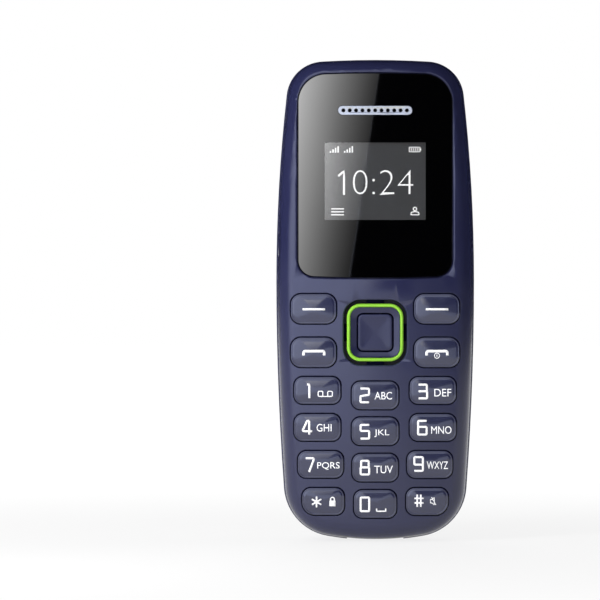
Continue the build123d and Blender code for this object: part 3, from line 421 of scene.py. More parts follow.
def even_loop(loop, count):
    """The same loop with evenly spaced points, anticlockwise from the one straight right."""
    middle = [sum(p[i] for p in loop) / len(loop) for i in (0, 1)]
    area = sum(a[0] * b[1] - b[0] * a[1] for a, b in zip(loop, loop[1:] + loop[:1]))
    points = loop if area > 0 else loop[::-1]
    total, fine = perimeter(points), count * OVERSAMPLE
    spread, walked = [], 0.0
    targets = [total * i / fine for i in range(fine)]
    for a, b in zip(points, points[1:] + points[:1]):
        step = math.dist(a, b)
        while targets and targets[0] <= walked + step:
            share = (targets.pop(0) - walked) / step if step else 0
            spread.append((a[0] + (b[0] - a[0]) * share, a[1] + (b[1] - a[1]) * share))
        walked += step
    turns = [abs(math.atan2(p[1] - middle[1], p[0] - middle[0])) for p in spread]
    first = turns.index(min(turns))
    return [spread[(first + OVERSAMPLE * i) % len(spread)] for i in range(count)]


def outlines(work, y, count, wanted=1):
    """Cuts a bmesh off in front of y in mm, and gives the longest loops of the cut, made even."""
    return [even_loop(loop, count) for loop in cut_loops(work, y * MM)[:wanted]]


def moved_in(loop, amount):
    """The loop with every point moved in by the same distance, square to the outline."""
    result = []
    for before, here, after in zip(loop[-1:] + loop[:-1], loop, loop[1:] + loop[:1]):
        along = Vector(after) - Vector(before)
        inward = Vector((-along.y, along.x)).normalized()
        result.append((here[0] + inward.x * amount, here[1] + inward.y * amount))
    return result


def box_middle(loop):
    """The middle of the box round a loop."""
    return [(min(p[i] for p in loop) + max(p[i] for p in loop)) / 2 for i in (0, 1)]


def scaled(loop, share):
    """The loop shrunk towards its middle."""
    middle = box_middle(loop)
    return [tuple(middle[i] + (p[i] - middle[i]) * share for i in (0, 1)) for p in loop]


def between(outer, inner, share):
    """A loop part of the way from the outer loop to the inner one."""
    return [(a[0] + (b[0] - a[0]) * share, a[1] + (b[1] - a[1]) * share)
            for a, b in zip(outer, inner)]


def stack_rings(work, rings, close_last=False):
    """Adds bands of faces between rings of (loop, y), and can close the last at a middle point."""
    rows = [[work.verts.new((x, y, z)) for x, z in loop] for loop, y in rings]
    for lower, upper in zip(rows, rows[1:]):
        for i in range(len(lower)):
            j = (i + 1) % len(lower)
            work.faces.new((lower[i], lower[j], upper[j], upper[i]))
    if close_last:
        last_loop, last_y = rings[-1]
        x, z = box_middle(last_loop)
        tip = work.verts.new((x, last_y, z))
        for here, onward in zip(rows[-1], rows[-1][1:] + rows[-1][:1]):
            work.faces.new((here, onward, tip))


# The last ring of a top stays this share of a step clear of the middle point.
LAST_STEP_SHARE = 0.4


def add_top(work, outline, rim, rise, steps):
    """Stacks a rim of (inset, y) in mm on an outline, and a top that rises in the middle, in mm."""
    rings = [(moved_in(outline, inset * MM), y * MM) for inset, y in rim]
    rim_loop, rim_y = rings[-1]
    for step in range(1, steps + 1):
        share = 1 - step / (steps + LAST_STEP_SHARE)
        rings.append((scaled(rim_loop, share), rim_y - rise * MM * (1 - share ** 2)))
    stack_rings(work, rings, close_last=True)


def ringed_piece(work, node, name, material):
    """Makes a piece of a bmesh that was closed with rings, and hands it to the frame."""
    obj = link_mesh(name, mesh_of(work, name), material)
    shade(obj, ROUND_ANGLE)
    finish_piece(obj, node)


# %% Key caps from their outlines
CAP_CUT_Y = -5.0
CAP_POINTS = 120
CAP_RIM = [(0.0, -5.0), (0.0, -5.74), (0.03, -5.81), (0.09, -5.855), (0.2, -5.865),
           (0.23, -5.85), (0.27, -5.855), (0.32, -5.885)]
CROWN_HEIGHT = 0.09
CROWN_STEPS = 12
number_keys = ["key_" + sign for sign in (*"123456789", "star", "0", "hash")]
function_keys = ["softkey_left", "softkey_right", "call_key", "end_key"]
surfaces = {}

for node in number_keys + function_keys:
    work = merged(node)
    outline, = outlines(work, CAP_CUT_Y, CAP_POINTS)
    add_top(work, outline, CAP_RIM, CROWN_HEIGHT, CROWN_STEPS)
    bmesh.ops.recalc_face_normals(work, faces=[f for f in work.faces if len(f.verts) == 4])
    work.normal_update()
    surfaces[node] = BVHTree.FromBMesh(work)
    ringed_piece(work, node, node + "_cap", cap_coating)
print("caps:", len(surfaces))

# %% [markdown]
# ## Navigation key and select key
# The navigation key is a dished frame: from the lime ring it falls in one soft curve to the
# square select key in its middle. The frame holds the two outlines; the script lays rings
# between them and lets the height follow a smooth curve. The select key has a slightly hollow
# top with a soft edge, and the lime ring is half round, so that it has a bright middle and
# darker sides.

# %% Navigation dish
NAV_POINTS = 160
NAV_CUT_Y = -5.4
DISH_STEPS = 14
DISH_BEND = 0.8
dish_high, dish_low = -5.9 * MM, -5.58 * MM

work = merged("nav_key")
outer, inner = outlines(work, NAV_CUT_Y, NAV_POINTS, 2)
rings = [(outer, NAV_CUT_Y * MM), (outer, dish_high)]
for step in range(1, DISH_STEPS + 1):
    share = step / DISH_STEPS
    depth = dish_high + (dish_low - dish_high) * share ** DISH_BEND
    rings.append((between(outer, inner, share), depth))
rings.append((inner, NAV_CUT_Y * MM))
stack_rings(work, rings)
ringed_piece(work, "nav_key", "nav_key_dish", nav_coating)
print("navigation dish", round((dish_low - dish_high) / MM, 2), "mm deep")

# %% Select key
SELECT_CUT_Y = -5.2
SELECT_RIM = [(0.0, -5.2), (0.0, -5.5), (0.04, -5.57), (0.12, -5.61), (0.24, -5.622)]
SELECT_HOLLOW = 0.12
SELECT_STEPS = 8

work = merged("select_key")
outline, = outlines(work, SELECT_CUT_Y, CAP_POINTS)
add_top(work, outline, SELECT_RIM, -SELECT_HOLLOW, SELECT_STEPS)
ringed_piece(work, "select_key", "select_key_cap", nav_coating)
print("select key", round(perimeter(outline) / MM, 1), "mm round")

# %% Lime ring
RING_FOOT, RING_SHOULDER, RING_TOP = -5.5, -5.72, -5.975
RING_STEPS = 12

work = merged("nav_trim_ring")
outer, inner = outlines(work, RING_FOOT, NAV_POINTS, 2)
rings = [(outer, RING_FOOT * MM), (outer, RING_SHOULDER * MM)]
for step in range(1, RING_STEPS):
    turn = math.pi * step / RING_STEPS
    rings.append((between(outer, inner, (1 - math.cos(turn)) / 2),
                  (RING_SHOULDER + (RING_TOP - RING_SHOULDER) * math.sin(turn)) * MM))
rings += [(inner, RING_SHOULDER * MM), (inner, RING_FOOT * MM)]
stack_rings(work, rings)
ringed_piece(work, "nav_trim_ring", "nav_trim_ring_round", lime_acetal)
print("ring", round(perimeter(outer) / MM, 1), "mm round")

# %% [markdown]
# ## The lens with its window
# The lens is one sheet, so its front is one face. The window is only the unprinted part. The
# frame's lens is cut along the window's four edges, so that the clear finish can be given to
# the faces inside them, and the black one to the rest.

# %% Lens
VIEW_MIDDLE = (0.0, 50.7)
VIEW_SIZE = (14.2, 10.9)
view_low = [(VIEW_MIDDLE[i] - VIEW_SIZE[i] / 2) * MM for i in (0, 1)]
view_high = [(VIEW_MIDDLE[i] + VIEW_SIZE[i] / 2) * MM for i in (0, 1)]

work = merged("screen_lens")
for x in (view_low[0], view_high[0]):
    sliced(work, (x, 0, 0), (1, 0, 0))
for z in (view_low[1], view_high[1]):
    sliced(work, (0, 0, z), (0, 0, 1))
lens = link_mesh("screen_lens_sheet", mesh_of(work, "screen_lens_sheet"), lens_black, lens_clear)
for face in lens.data.polygons:
    flat = abs(face.normal.y) > FLAT_LIMIT
    inside = all(low < middle < high for low, middle, high
                 in zip(view_low, (face.center.x, face.center.z), view_high))
    face.use_smooth = not flat
    face.material_index = 1 if inside and flat else 0
finish_piece(lens, "screen_lens")
print("window faces", sum(p.material_index for p in lens.data.polygons))

# %% [markdown]
# ## The lit display
# A small mono display glows a dark even grey where nothing is drawn, and white where it is. The
# glass sandwich keeps the frame's shape. What it shows is drawn as thin flat shapes just in
# front of it: the time in large figures, signal bars, a battery, and two plain symbols for the
# soft keys. Pixels are far too small to see, but fine rows dim them a little.


# %% Display finishes
def glow(name, colour, strength):
    """A lit layer of the display with the faint rows of its pixels, 0.22 mm apart."""
    material, tree, shader, place = new_material(name)
    rows = add_node(tree, "ShaderNodeTexWave", {"Vector": place, "Scale": 1 / (0.7 * MM)},
                    wave_type="BANDS", bands_direction="Z")
    dim = add_node(tree, "ShaderNodeMapRange",
                   {"Value": rows.outputs["Fac"], "To Min": 0.93, "To Max": 1.0})
    light = add_node(tree, "ShaderNodeMix", {"Factor": dim.outputs[0], "A": srgb("#000000"),
                                            "B": srgb(colour)}, data_type="RGBA")
    tree.links.new(light.outputs["Result"], shader.inputs["Emission Color"])
    shader.inputs["Emission Strength"].default_value = strength
    shader.inputs["Base Color"].default_value = srgb("#08090A")
    shader.inputs["Roughness"].default_value = 0.3
    return material


display_back = glow("display_glass_backlit", "#3A3A3A", 1.0)
display_white = glow("display_cells_lit", "#FFFFFF", 1.25)
finish_piece(skin("display_module", display_back), "display_module")

# %% [markdown]
# ## Drawing with strokes
# The legends on the keys are printed in even strokes with small round corners, so each figure
# is a path, drawn once in units of its own width and height. A Geometry Nodes tree turns a
# path into a flat ribbon: it rounds the corners, adds points between them, and sweeps a short
# straight line along the path. The same tree draws every figure, because width and corner
# radius are its inputs.


# %% Node group tools
def node_group(name, inputs):
    """A Geometry Nodes group with inputs of the given kinds beside its geometry, and their node."""
    tree = bpy.data.node_groups.new(name, "GeometryNodeTree")
    for label, kind in [("Geometry", "Geometry"), *inputs.items()]:
        tree.interface.new_socket(label, in_out="INPUT", socket_type="NodeSocket" + kind)
    tree.interface.new_socket("Geometry", in_out="OUTPUT", socket_type="NodeSocketGeometry")
    return tree, add_node(tree, "NodeGroupInput")


def close_group(tree, given, shape):
    """Ends a node group with its shape as real geometry in the given finish."""
    real = add_node(tree, "GeometryNodeRealizeInstances", {"Geometry": shape})
    coated = add_node(tree, "GeometryNodeSetMaterial",
                      {"Geometry": real.outputs[0], "Material": given.outputs["Finish"]})
    add_node(tree, "NodeGroupOutput", {"Geometry": coated.outputs[0]})
    return tree


def evaluated(name, data, tree=None, values=None):
    """The plain mesh of some data, after a node tree with named input values where one is given."""
    holder = in_scene(name, data)
    if tree:
        modifier = holder.modifiers.new("nodes", "NODES")
        modifier.node_group = tree
        for item in tree.interface.items_tree:
            if item.in_out == "INPUT" and item.name in values:
                modifier[item.identifier] = values[item.name]
    graph = bpy.context.evaluated_depsgraph_get()
    graph.update()
    mesh = bpy.data.meshes.new_from_object(holder.evaluated_get(graph), depsgraph=graph)
    bpy.data.objects.remove(holder)
    return mesh


# %% Stroke tree
def stroke_tree():
    """A node group that turns a path in the XZ plane into a flat ribbon facing the front."""
    tree, given = node_group("printed_stroke", {"Stroke Width": "Float", "Corner Radius": "Float",
                                                "Finish": "Material"})
    rounded = add_node(tree, "GeometryNodeFilletCurve",
                       {"Curve": given.outputs["Geometry"], "Count": 5,
                        "Radius": given.outputs["Corner Radius"]}, mode="POLY")
    spaced = add_node(tree, "GeometryNodeSubdivideCurve",
                      {"Curve": rounded.outputs[0], "Cuts": 3})
    upright = add_node(tree, "GeometryNodeSetCurveNormal",
                       {"Curve": spaced.outputs[0], "Normal": (0.0, 1.0, 0.0)}, mode="FREE")
    half = add_node(tree, "ShaderNodeMath", {0: given.outputs["Stroke Width"], 1: 0.5},
                    operation="MULTIPLY")
    minus = add_node(tree, "ShaderNodeMath", {0: half.outputs[0], 1: -1.0}, operation="MULTIPLY")
    low = add_node(tree, "ShaderNodeCombineXYZ", {"Y": minus.outputs[0]})
    high = add_node(tree, "ShaderNodeCombineXYZ", {"Y": half.outputs[0]})
    line = add_node(tree, "GeometryNodeCurvePrimitiveLine",
                    {"Start": low.outputs[0], "End": high.outputs[0]})
    swept = add_node(tree, "GeometryNodeCurveToMesh",
                     {"Curve": upright.outputs[0], "Profile Curve": line.outputs[0]})
    return close_group(tree, given, swept.outputs[0])


STROKES = stroke_tree()


def ribbon(paths, width, radius, ink):
    """The mesh of flat strokes along paths of (x, z) points in millimetres. A path that ends
    where it starts is closed."""
    curve = bpy.data.curves.new("paths", "CURVE")
    curve.dimensions = "3D"
    for path in paths:
        closed = math.dist(path[0], path[-1]) < 1e-6
        points = path[:-1] if closed else path
        spline = curve.splines.new("POLY")
        spline.points.add(len(points) - 1)
        spline.use_cyclic_u = closed
        for point, (x, z) in zip(spline.points, points):
            point.co = (x * MM, 0, z * MM, 1)
    return evaluated("paths", curve, STROKES, {"Stroke Width": width * MM,
                                               "Corner Radius": radius * MM, "Finish": ink})


def lettering(text, x, z, width, height=1.06, thinner=0.0):
    """The mesh of a short text centred on x, z, and squeezed to a width and height, all in mm."""
    curve = bpy.data.curves.new("letters", "FONT")
    curve.body = text
    curve.resolution_u = 4
    curve.offset = -thinner
    mesh = evaluated("letters", curve)
    low = [min(v.co[i] for v in mesh.vertices) for i in (0, 1)]
    high = [max(v.co[i] for v in mesh.vertices) for i in (0, 1)]
    for vertex in mesh.vertices:
        share = [(vertex.co[i] - low[i]) / (high[i] - low[i]) - 0.5 for i in (0, 1)]
        vertex.co = ((x + share[0] * width) * MM, 0, (z + share[1] * height) * MM)
    return mesh


def lay_on(meshes, name, material, y_of, lift=0.008, thick=0.008):
    """Joins flat drawings into one piece, lays them a hair above a surface and closes them."""
    work = bmesh.new()
    for mesh in meshes:
        work.from_mesh(mesh)
    bmesh.ops.remove_doubles(work, verts=work.verts, dist=0.001 * MM)
    bmesh.ops.triangulate(work, faces=work.faces[:])
    for vertex in work.verts:
        vertex.co.y = y_of(vertex.co.x, vertex.co.z) - lift * MM
    work.normal_update()
    turned = [f for f in work.faces if f.normal.y > 0]
    bmesh.ops.reverse_faces(work, faces=turned)
    grown = bmesh.ops.extrude_face_region(work, geom=work.faces[:])
    moved = [v for v in grown["geom"] if isinstance(v, bmesh.types.BMVert)]
    bmesh.ops.translate(work, verts=moved, vec=(0, -thick * MM, 0))
    bmesh.ops.recalc_face_normals(work, faces=work.faces[:])
    return link_mesh(name, mesh_of(work, name), material)


print("stroke inputs:", [i.name for i in STROKES.interface.items_tree])

# %% [markdown]
# ## Figures for the keys
# The figures are squared with small round corners. Each is one or two paths on a grid that is
# one unit wide and one and a half high. Beside the figure stand the usual letter groups, or a
# plain symbol: two linked loops for messages, a padlock, a space bar, a crossed-out speaker.

# %% Figure paths
FIGURES = {
    "1": [[(0.34, 1.5), (0.62, 1.5), (0.62, 0)]],
    "2": [[(0, 1.5), (1, 1.5), (1, 0.82), (0, 0.68), (0, 0), (1, 0)]],
    "3": [[(0, 1.5), (0.96, 1.5), (0.96, 0.78), (0, 0.78)], [(0.9, 0.78), (1, 0.7), (1, 0), (0, 0)]],
    "4": [[(0.74, 0), (0.74, 1.5)], [(0.74, 1.5), (0.5, 1.5), (0, 0.5), (0, 0.36), (1.08, 0.36)]],
    "5": [[(1, 1.5), (0, 1.5), (0, 0.84), (1, 0.84), (1, 0), (0, 0)]],
    "6": [[(1, 1.5), (0, 1.5), (0, 0), (1, 0), (1, 0.84), (0, 0.84)]],
    "7": [[(0, 1.5), (1, 1.5), (0.4, 0)]],
    "8": [[(0, 0), (1, 0), (1, 0.78), (0, 0.78), (0, 0)],
          [(0.06, 0.78), (0.94, 0.78), (0.94, 1.5), (0.06, 1.5), (0.06, 0.78)]],
    "9": [[(0, 0), (1, 0), (1, 1.5), (0, 1.5), (0, 0.68), (1, 0.68)]],
    "0": [[(0, 0), (1, 0), (1, 1.5), (0, 1.5), (0, 0)]],
    "*": [[(0.5, 0.1), (0.5, 1.3)], [(-0.05, 0.4), (1.05, 1.0)], [(-0.05, 1.0), (1.05, 0.4)]],
    "#": [[(0.32, 0.05), (0.32, 1.4)], [(0.74, 0.05), (0.74, 1.4)], [(0, 0.48), (1.06, 0.48)],
          [(0, 0.98), (1.06, 0.98)]],
}
FIGURE_WIDE, FIGURE_TALL = 1.2, 1.07
FIGURE_STROKE, SIGN_STROKE = 0.28, 0.22
FIGURE_CORNER = 0.15


def figure(sign, x, z):
    """The paths of one figure centred on x, z, in millimetres."""
    return [[(x + (u - 0.5) * FIGURE_WIDE, z + (v - 0.75) * FIGURE_WIDE * FIGURE_TALL)
             for u, v in path] for path in FIGURES[sign]]


# %% Symbol paths
def ring_path(x, z, radius, count=24):
    """A closed circular path."""
    turns = [math.tau * i / count for i in range(count + 1)]
    return [(x + radius * math.cos(turn), z + radius * math.sin(turn)) for turn in turns]


def box_path(x, z, width, height):
    """A closed rectangular path round x, z."""
    return [(x + u * width / 2, z + v * height / 2)
            for u, v in ((-1, -1), (1, -1), (1, 1), (-1, 1), (-1, -1))]


def handset_path(x):
    """The path of a level handset round x."""
    return [(x - 1.45, 26.22), (x - 1.45, 26.82), (x + 1.45, 26.82), (x + 1.45, 26.22)]


# Each drawing is its paths in millimetres, the width of the stroke and the radius of its corners.
SYMBOLS = {
    "key_1": [([box_path(-7.68, 20.82, 0.66, 0.72), box_path(-6.34, 20.82, 0.66, 0.72),
                [(-7.68, 20.46), (-6.34, 20.46)]], 0.14, 0.18)],
    "key_0": [([[(0.2, 4.72), (0.2, 4.34), (1.48, 4.34), (1.48, 4.72)]], 0.18, 0.0)],
    "key_star": [([[(-6.0, 5.04), (-6.0, 5.84)]], 0.84, 0.0),
                 ([[(-6.26, 5.8), (-6.26, 6.28), (-5.74, 6.28), (-5.74, 5.8)]], 0.15, 0.22)],
    "key_hash": [([[(7.76, 5.5), (7.76, 5.98), (7.98, 5.98), (8.3, 6.26), (8.3, 5.22),
                    (7.98, 5.5), (7.76, 5.5)], [(7.92, 6.3), (8.54, 5.2)]], 0.1, 0.0)],
    "softkey_left": [([[(-10.2, 32.7), (-7.04, 32.7)]], 0.28, 0.0)],
    "softkey_right": [([[(7.1, 32.7), (10.26, 32.7)]], 0.28, 0.0)],
    "call_key": [([handset_path(-8.61)], 0.36, 0.25)],
    "end_key": [([handset_path(8.68)], 0.36, 0.25),
                ([ring_path(8.68, 26.18, 0.36), [(8.68, 26.0), (8.68, 26.36)]], 0.1, 0.0)],
}
# Each legend is a sign and its middle, then the letters with their middle and width.
LEGENDS = {
    "key_1": ("1", -9.39, 21.18),
    "key_2": ("2", -1.46, 20.6, "ABC", 1.14, 20.56, 2.45),
    "key_3": ("3", 6.7, 21.15, "DEF", 9.49, 20.99, 2.38),
    "key_4": ("4", -9.55, 16.07, "GHI", -7.18, 16.06, 2.1),
    "key_5": ("5", -1.44, 15.5, "JKL", 0.92, 15.28, 2.1),
    "key_6": ("6", 6.63, 16.07, "MNO", 9.29, 15.74, 2.85),
    "key_7": ("7", -9.16, 10.82, "PQRS", -6.57, 10.7, 3.15),
    "key_8": ("8", -1.44, 10.46, "TUV", 1.17, 10.2, 2.6),
    "key_9": ("9", 6.1, 10.97, "WXYZ", 8.74, 10.79, 2.95),
    "key_star": ("*", -8.23, 5.71),
    "key_0": ("0", -1.44, 5.3),
    "key_hash": ("#", 6.12, 5.85),
}
print("symbols:", len(SYMBOLS), "legends:", len(LEGENDS))

# %% Print the key legends, in white ink with a painted glow
# The ink's emission is painted light: the legends glow a little though nothing lights them from
# inside, and so do the battery's signs, which share this ink.
INK_GLOW = 0.5
RAY_START = -10 * MM
legend_ink_painted_glow = surface("screen_print_white_painted_glow", "#E9EAEE", "#FAFAFC", 0.5, grain=0.1, bump=0.08)
ink_shader = legend_ink_painted_glow.node_tree.nodes["Principled BSDF"]
ink_shader.inputs["Emission Color"].default_value = srgb("#FFFFFF")
ink_shader.inputs["Emission Strength"].default_value = INK_GLOW

for key in number_keys + function_keys:
    drawings = [ribbon(*drawing, legend_ink_painted_glow) for drawing in SYMBOLS.get(key, [])]
    if key in LEGENDS:
        sign, x, z, *letters = LEGENDS[key]
        stroke = FIGURE_STROKE if sign.isdigit() else SIGN_STROKE
        drawings.append(ribbon(figure(sign, x, z), stroke, FIGURE_CORNER, legend_ink_painted_glow))
        if letters:
            drawings.append(lettering(*letters))

    def cap_height(x, z, tree=surfaces[key]):
        return tree.ray_cast(Vector((x, RAY_START, z)), Vector((0, 1, 0)))[0].y

    print_piece = lay_on(drawings, key + "_legend", legend_ink_painted_glow, cap_height)
    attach(print_piece, key)
print("printed keys:", len(surfaces))

# %% [markdown]
# ## What the display shows
# The time stands in thin large figures across the middle. They are set in the plain font that
# the key letters use, except the first, which is drawn with strokes because the font's own is
# a bare bar. The bars, the battery and the soft key symbols are small boxes and lines. The
# place of the name above the display stays bare.

# %% Draw the display
GLASS_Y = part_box("display_module")[0][1]
clock = lettering("0:24", 1.1, 50.55, 8.5, height=3.5, thinner=0.024)
first_figure = [[(-5.2, 51.45), (-4.4, 52.16), (-4.4, 48.8)]]
status = []
for group in (-6.3, -4.3):
    for bar in range(4):
        x = group + bar * 0.36
        status.append([(x, 54.75), (x, 55.0 + bar * 0.22)])
battery_icon = [box_path(5.55, 55.2, 1.5, 0.62), [(6.42, 55.05), (6.42, 55.35)]]
battery_icon += [[(x, 55.02), (x, 55.38)] for x in (5.1, 5.4, 5.7, 6.0)]
menu_icon = [[(-6.2, z), (-4.4, z)] for z in (46.0, 46.42, 46.84)]
names_icon = [ring_path(5.6, 46.82, 0.24), [(5.0, 46.0), (5.1, 46.36), (5.6, 46.46), (6.1, 46.36),
                                            (6.2, 46.0), (5.0, 46.0)]]
drawings = [(first_figure, 0.28, 0.0), (status, 0.2, 0.0), (battery_icon, 0.12, 0.0),
            (menu_icon, 0.16, 0.0), (names_icon, 0.14, 0.08)]
drawn = [clock] + [ribbon(*drawing, display_white) for drawing in drawings]
screen_text = lay_on(drawn, "display_picture", display_white, lambda x, z: GLASS_Y, lift=0.012)
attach(screen_text, "phone_body")
print("display strokes:", sum(len(paths) for paths, width, radius in drawings))

# %% [markdown]
# ## Repeated small pieces with Geometry Nodes
# The dome switches, the screws and the speaker mesh are each one small shape repeated. Each
# shape is built once in a tree and placed on points. A mesh whose vertices are the places
# carries them into the tree.


# %% Repeat tree
def repeat_tree(name, make_shape, turn=(math.radians(90), 0.0, 0.0)):
    """A node group that puts one turned shape on every point of the incoming mesh."""
    tree, given = node_group(name, {"Radius": "Float", "Height": "Float", "Finish": "Material"})
    placed = add_node(tree, "GeometryNodeInstanceOnPoints",
                      {"Points": given.outputs["Geometry"], "Instance": make_shape(tree, given),
                       "Rotation": turn})
    return close_group(tree, given, placed.outputs[0])


def repeated(places, tree, radius, height, finish):
    """The mesh of a shape of the given radius and height in mm, repeated at the places."""
    points = bpy.data.meshes.new("places")
    points.from_pydata([Vector(place) for place in places], [], [])
    return evaluated("places", points, tree,
                     {"Radius": radius * MM, "Height": height * MM, "Finish": finish})


def island_middles(node):
    """The middle of each separate solid of a frame piece."""
    work = merged(node)
    unseen, middles = set(work.verts), []
    while unseen:
        group, queue = [], [unseen.pop()]
        while queue:
            vertex = queue.pop()
            group.append(vertex.co.copy())
            for edge in vertex.link_edges:
                other = edge.other_vert(vertex)
                if other in unseen:
                    unseen.discard(other)
                    queue.append(other)
        middles.append([(min(p[i] for p in group) + max(p[i] for p in group)) / 2 for i in range(3)])
    work.free()
    return middles


def repeated_piece(name, node, make_shape, radius, height, finish):
    """Builds a shape in the middle of each solid of a frame piece, and stands in for that piece."""
    places = island_middles(node)
    mesh = repeated(places, repeat_tree(name, make_shape), radius, height, finish)
    obj = link_mesh(name, mesh, finish)
    mesh.polygons.foreach_set("use_smooth", [True] * len(mesh.polygons))
    mesh.set_sharp_from_angle(angle=math.radians(ROUND_ANGLE))
    finish_piece(obj, node)
    print(name, len(places))


# %% Dome switches
DOME_RADIUS = 1.7


def dome_shape(tree, given):
    """A shallow snap dome: the cap of a sphere, flattened to the switch's height."""
    ball = add_node(tree, "GeometryNodeMeshUVSphere", {"Segments": 28, "Rings": 14, "Radius": 1.0})
    size = add_node(tree, "ShaderNodeCombineXYZ", {"X": given.outputs["Radius"],
                                                   "Y": given.outputs["Radius"],
                                                   "Z": given.outputs["Height"]})
    flat = add_node(tree, "GeometryNodeTransform",
                    {"Geometry": ball.outputs["Mesh"], "Scale": size.outputs[0]})
    return flat.outputs[0]


dome_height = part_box("dome_switches")[1][1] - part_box("dome_switches")[0][1]
repeated_piece("snap_domes", "dome_switches", dome_shape, DOME_RADIUS, dome_height / MM / 2,
               spring_steel)

# %% [markdown]
# ## Screws
# Each screw has a round-edged head with a cross recess and a plain shank. The recess is cut
# with a boolean inside the tree, so the screw stays one closed shape, and the tree repeats it
# at the four wells.


# %% Screws
HEAD_RADIUS, HEAD_TALL, HEAD_Z = 1.2, 0.6, 1.5
SHANK_RADIUS, SHANK_TALL, SHANK_Z = 0.7, 3.0, -0.28
CROSS_LONG, CROSS_WIDE, CROSS_TALL, CROSS_Z = 1.3, 0.3, 0.7, 1.8


def screw_shape(tree, given):
    """A cylinder head with a cross recess on a thinner shank, with the head towards -Z."""
    head = add_node(tree, "GeometryNodeMeshCylinder",
                    {"Vertices": 40, "Radius": given.outputs["Radius"], "Depth": HEAD_TALL * MM})
    raised = add_node(tree, "GeometryNodeTransform",
                      {"Geometry": head.outputs["Mesh"], "Translation": (0, 0, HEAD_Z * MM)})
    shank = add_node(tree, "GeometryNodeMeshCylinder",
                     {"Vertices": 24, "Radius": SHANK_RADIUS * MM,
                      "Depth": given.outputs["Height"]})
    lowered = add_node(tree, "GeometryNodeTransform",
                       {"Geometry": shank.outputs["Mesh"], "Translation": (0, 0, SHANK_Z * MM)})
    blades = [add_node(tree, "GeometryNodeMeshCube", {"Size": (x * MM, y * MM, CROSS_TALL * MM)})
              for x, y in ((CROSS_LONG, CROSS_WIDE), (CROSS_WIDE, CROSS_LONG))]
    cross = add_node(tree, "GeometryNodeMeshBoolean",
                     {"Mesh 2": [blade.outputs["Mesh"] for blade in blades]}, operation="UNION")
    high = add_node(tree, "GeometryNodeTransform",
                    {"Geometry": cross.outputs[0], "Translation": (0, 0, CROSS_Z * MM)})
    recessed = add_node(tree, "GeometryNodeMeshBoolean",
                        {"Mesh 1": raised.outputs[0], "Mesh 2": high.outputs[0]},
                        operation="DIFFERENCE")
    both = add_node(tree, "GeometryNodeJoinGeometry",
                    {0: [recessed.outputs[0], lowered.outputs[0]]})
    turned = add_node(tree, "GeometryNodeTransform",
                      {"Geometry": both.outputs[0], "Rotation": (math.radians(180), 0.0, 0.0)})
    return turned.outputs[0]


repeated_piece("cross_head_screws", "chassis_screws", screw_shape, HEAD_RADIUS, SHANK_TALL,
               black_zinc)


# %% [markdown]
# ## Speaker mesh
# Behind the two slots of the rear cover lies a woven cloth of fine wires. Two sets of thin
# wires cross each other, each set repeated by the tree along a row of points. The real pitch
# of about 0.1 mm can't show in the render, so it is drawn at 0.24 mm.


# %% Speaker mesh
WIRE_PITCH = 0.24
WIRE_RADIUS = 0.035
WIRE_SHORTER = 0.1
# The two sets of wires lie this share of a radius off the middle, so that they just touch.
WIRE_SHIFT_SHARE = 0.98


def wire_shape(tree, given):
    """A straight six-sided wire along Z."""
    wire = add_node(tree, "GeometryNodeMeshCylinder",
                    {"Vertices": 6, "Side Segments": 1, "Radius": given.outputs["Radius"],
                     "Depth": given.outputs["Height"]})
    return wire.outputs["Mesh"]


mesh_low, mesh_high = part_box("speaker_mesh")
mesh_middle = [(a + b) / 2 for a, b in zip(mesh_low, mesh_high)]
mesh_size = [(b - a) / MM for a, b in zip(mesh_low, mesh_high)]
woven = bmesh.new()
for along, across, turn, side in ((0, 2, math.radians(90), -1), (2, 0, 0.0, 1)):
    count = int((mesh_size[across] - 2 * WIRE_RADIUS) / WIRE_PITCH)
    places = []
    for i in range(count + 1):
        place = list(mesh_middle)
        place[across] += (i - count / 2) * WIRE_PITCH * MM
        place[1] += side * WIRE_RADIUS * MM * WIRE_SHIFT_SHARE
        places.append(place)
    tree = repeat_tree("woven_wires", wire_shape, (0.0, turn, 0.0))
    woven.from_mesh(repeated(places, tree, WIRE_RADIUS, mesh_size[along] - WIRE_SHORTER, wire_grey))
mesh = mesh_of(woven, "speaker_mesh_wires")
finish_piece(link_mesh("speaker_mesh_wires", mesh, wire_grey), "speaker_mesh")
print("wires:", len(mesh.polygons) // 8)

# %% [markdown]
# ## Board and battery
# The main board is glass-fibre laminate under a green mask, with a faint net of tracks. The
# battery is a foil cell in a bare label sheet, with a band of black tape at its top; a plus and
# a minus sign mark its contacts, as on any battery.


# %% Board finish
def board_mask():
    """Green solder mask with slightly raised, lighter tracks at right angles."""
    material, tree, shader, place = new_material("fibreglass_green_mask")
    upright = add_node(tree, "ShaderNodeMapping",
                       {"Vector": place, "Rotation": (math.radians(90), 0, 0)})
    tracks = add_node(tree, "ShaderNodeTexBrick",
                      {"Vector": upright.outputs[0],
                       "Scale": 1 / (2.2 * MM), "Mortar Size": 0.05, "Color1": srgb("#12402B"),
                       "Color2": srgb("#153F2F"), "Mortar": srgb("#2A6A48")})
    tree.links.new(tracks.outputs["Color"], shader.inputs["Base Color"])
    relief = add_node(tree, "ShaderNodeBump", {"Height": tracks.outputs["Fac"], "Strength": 0.2,
                                               "Distance": 0.03 * MM})
    tree.links.new(relief.outputs[0], shader.inputs["Normal"])
    shader.inputs["Roughness"].default_value = 0.35
    return material


finish_piece(skin("main_board", board_mask()), "main_board")
print("finishes with the board:", len(bpy.data.materials))

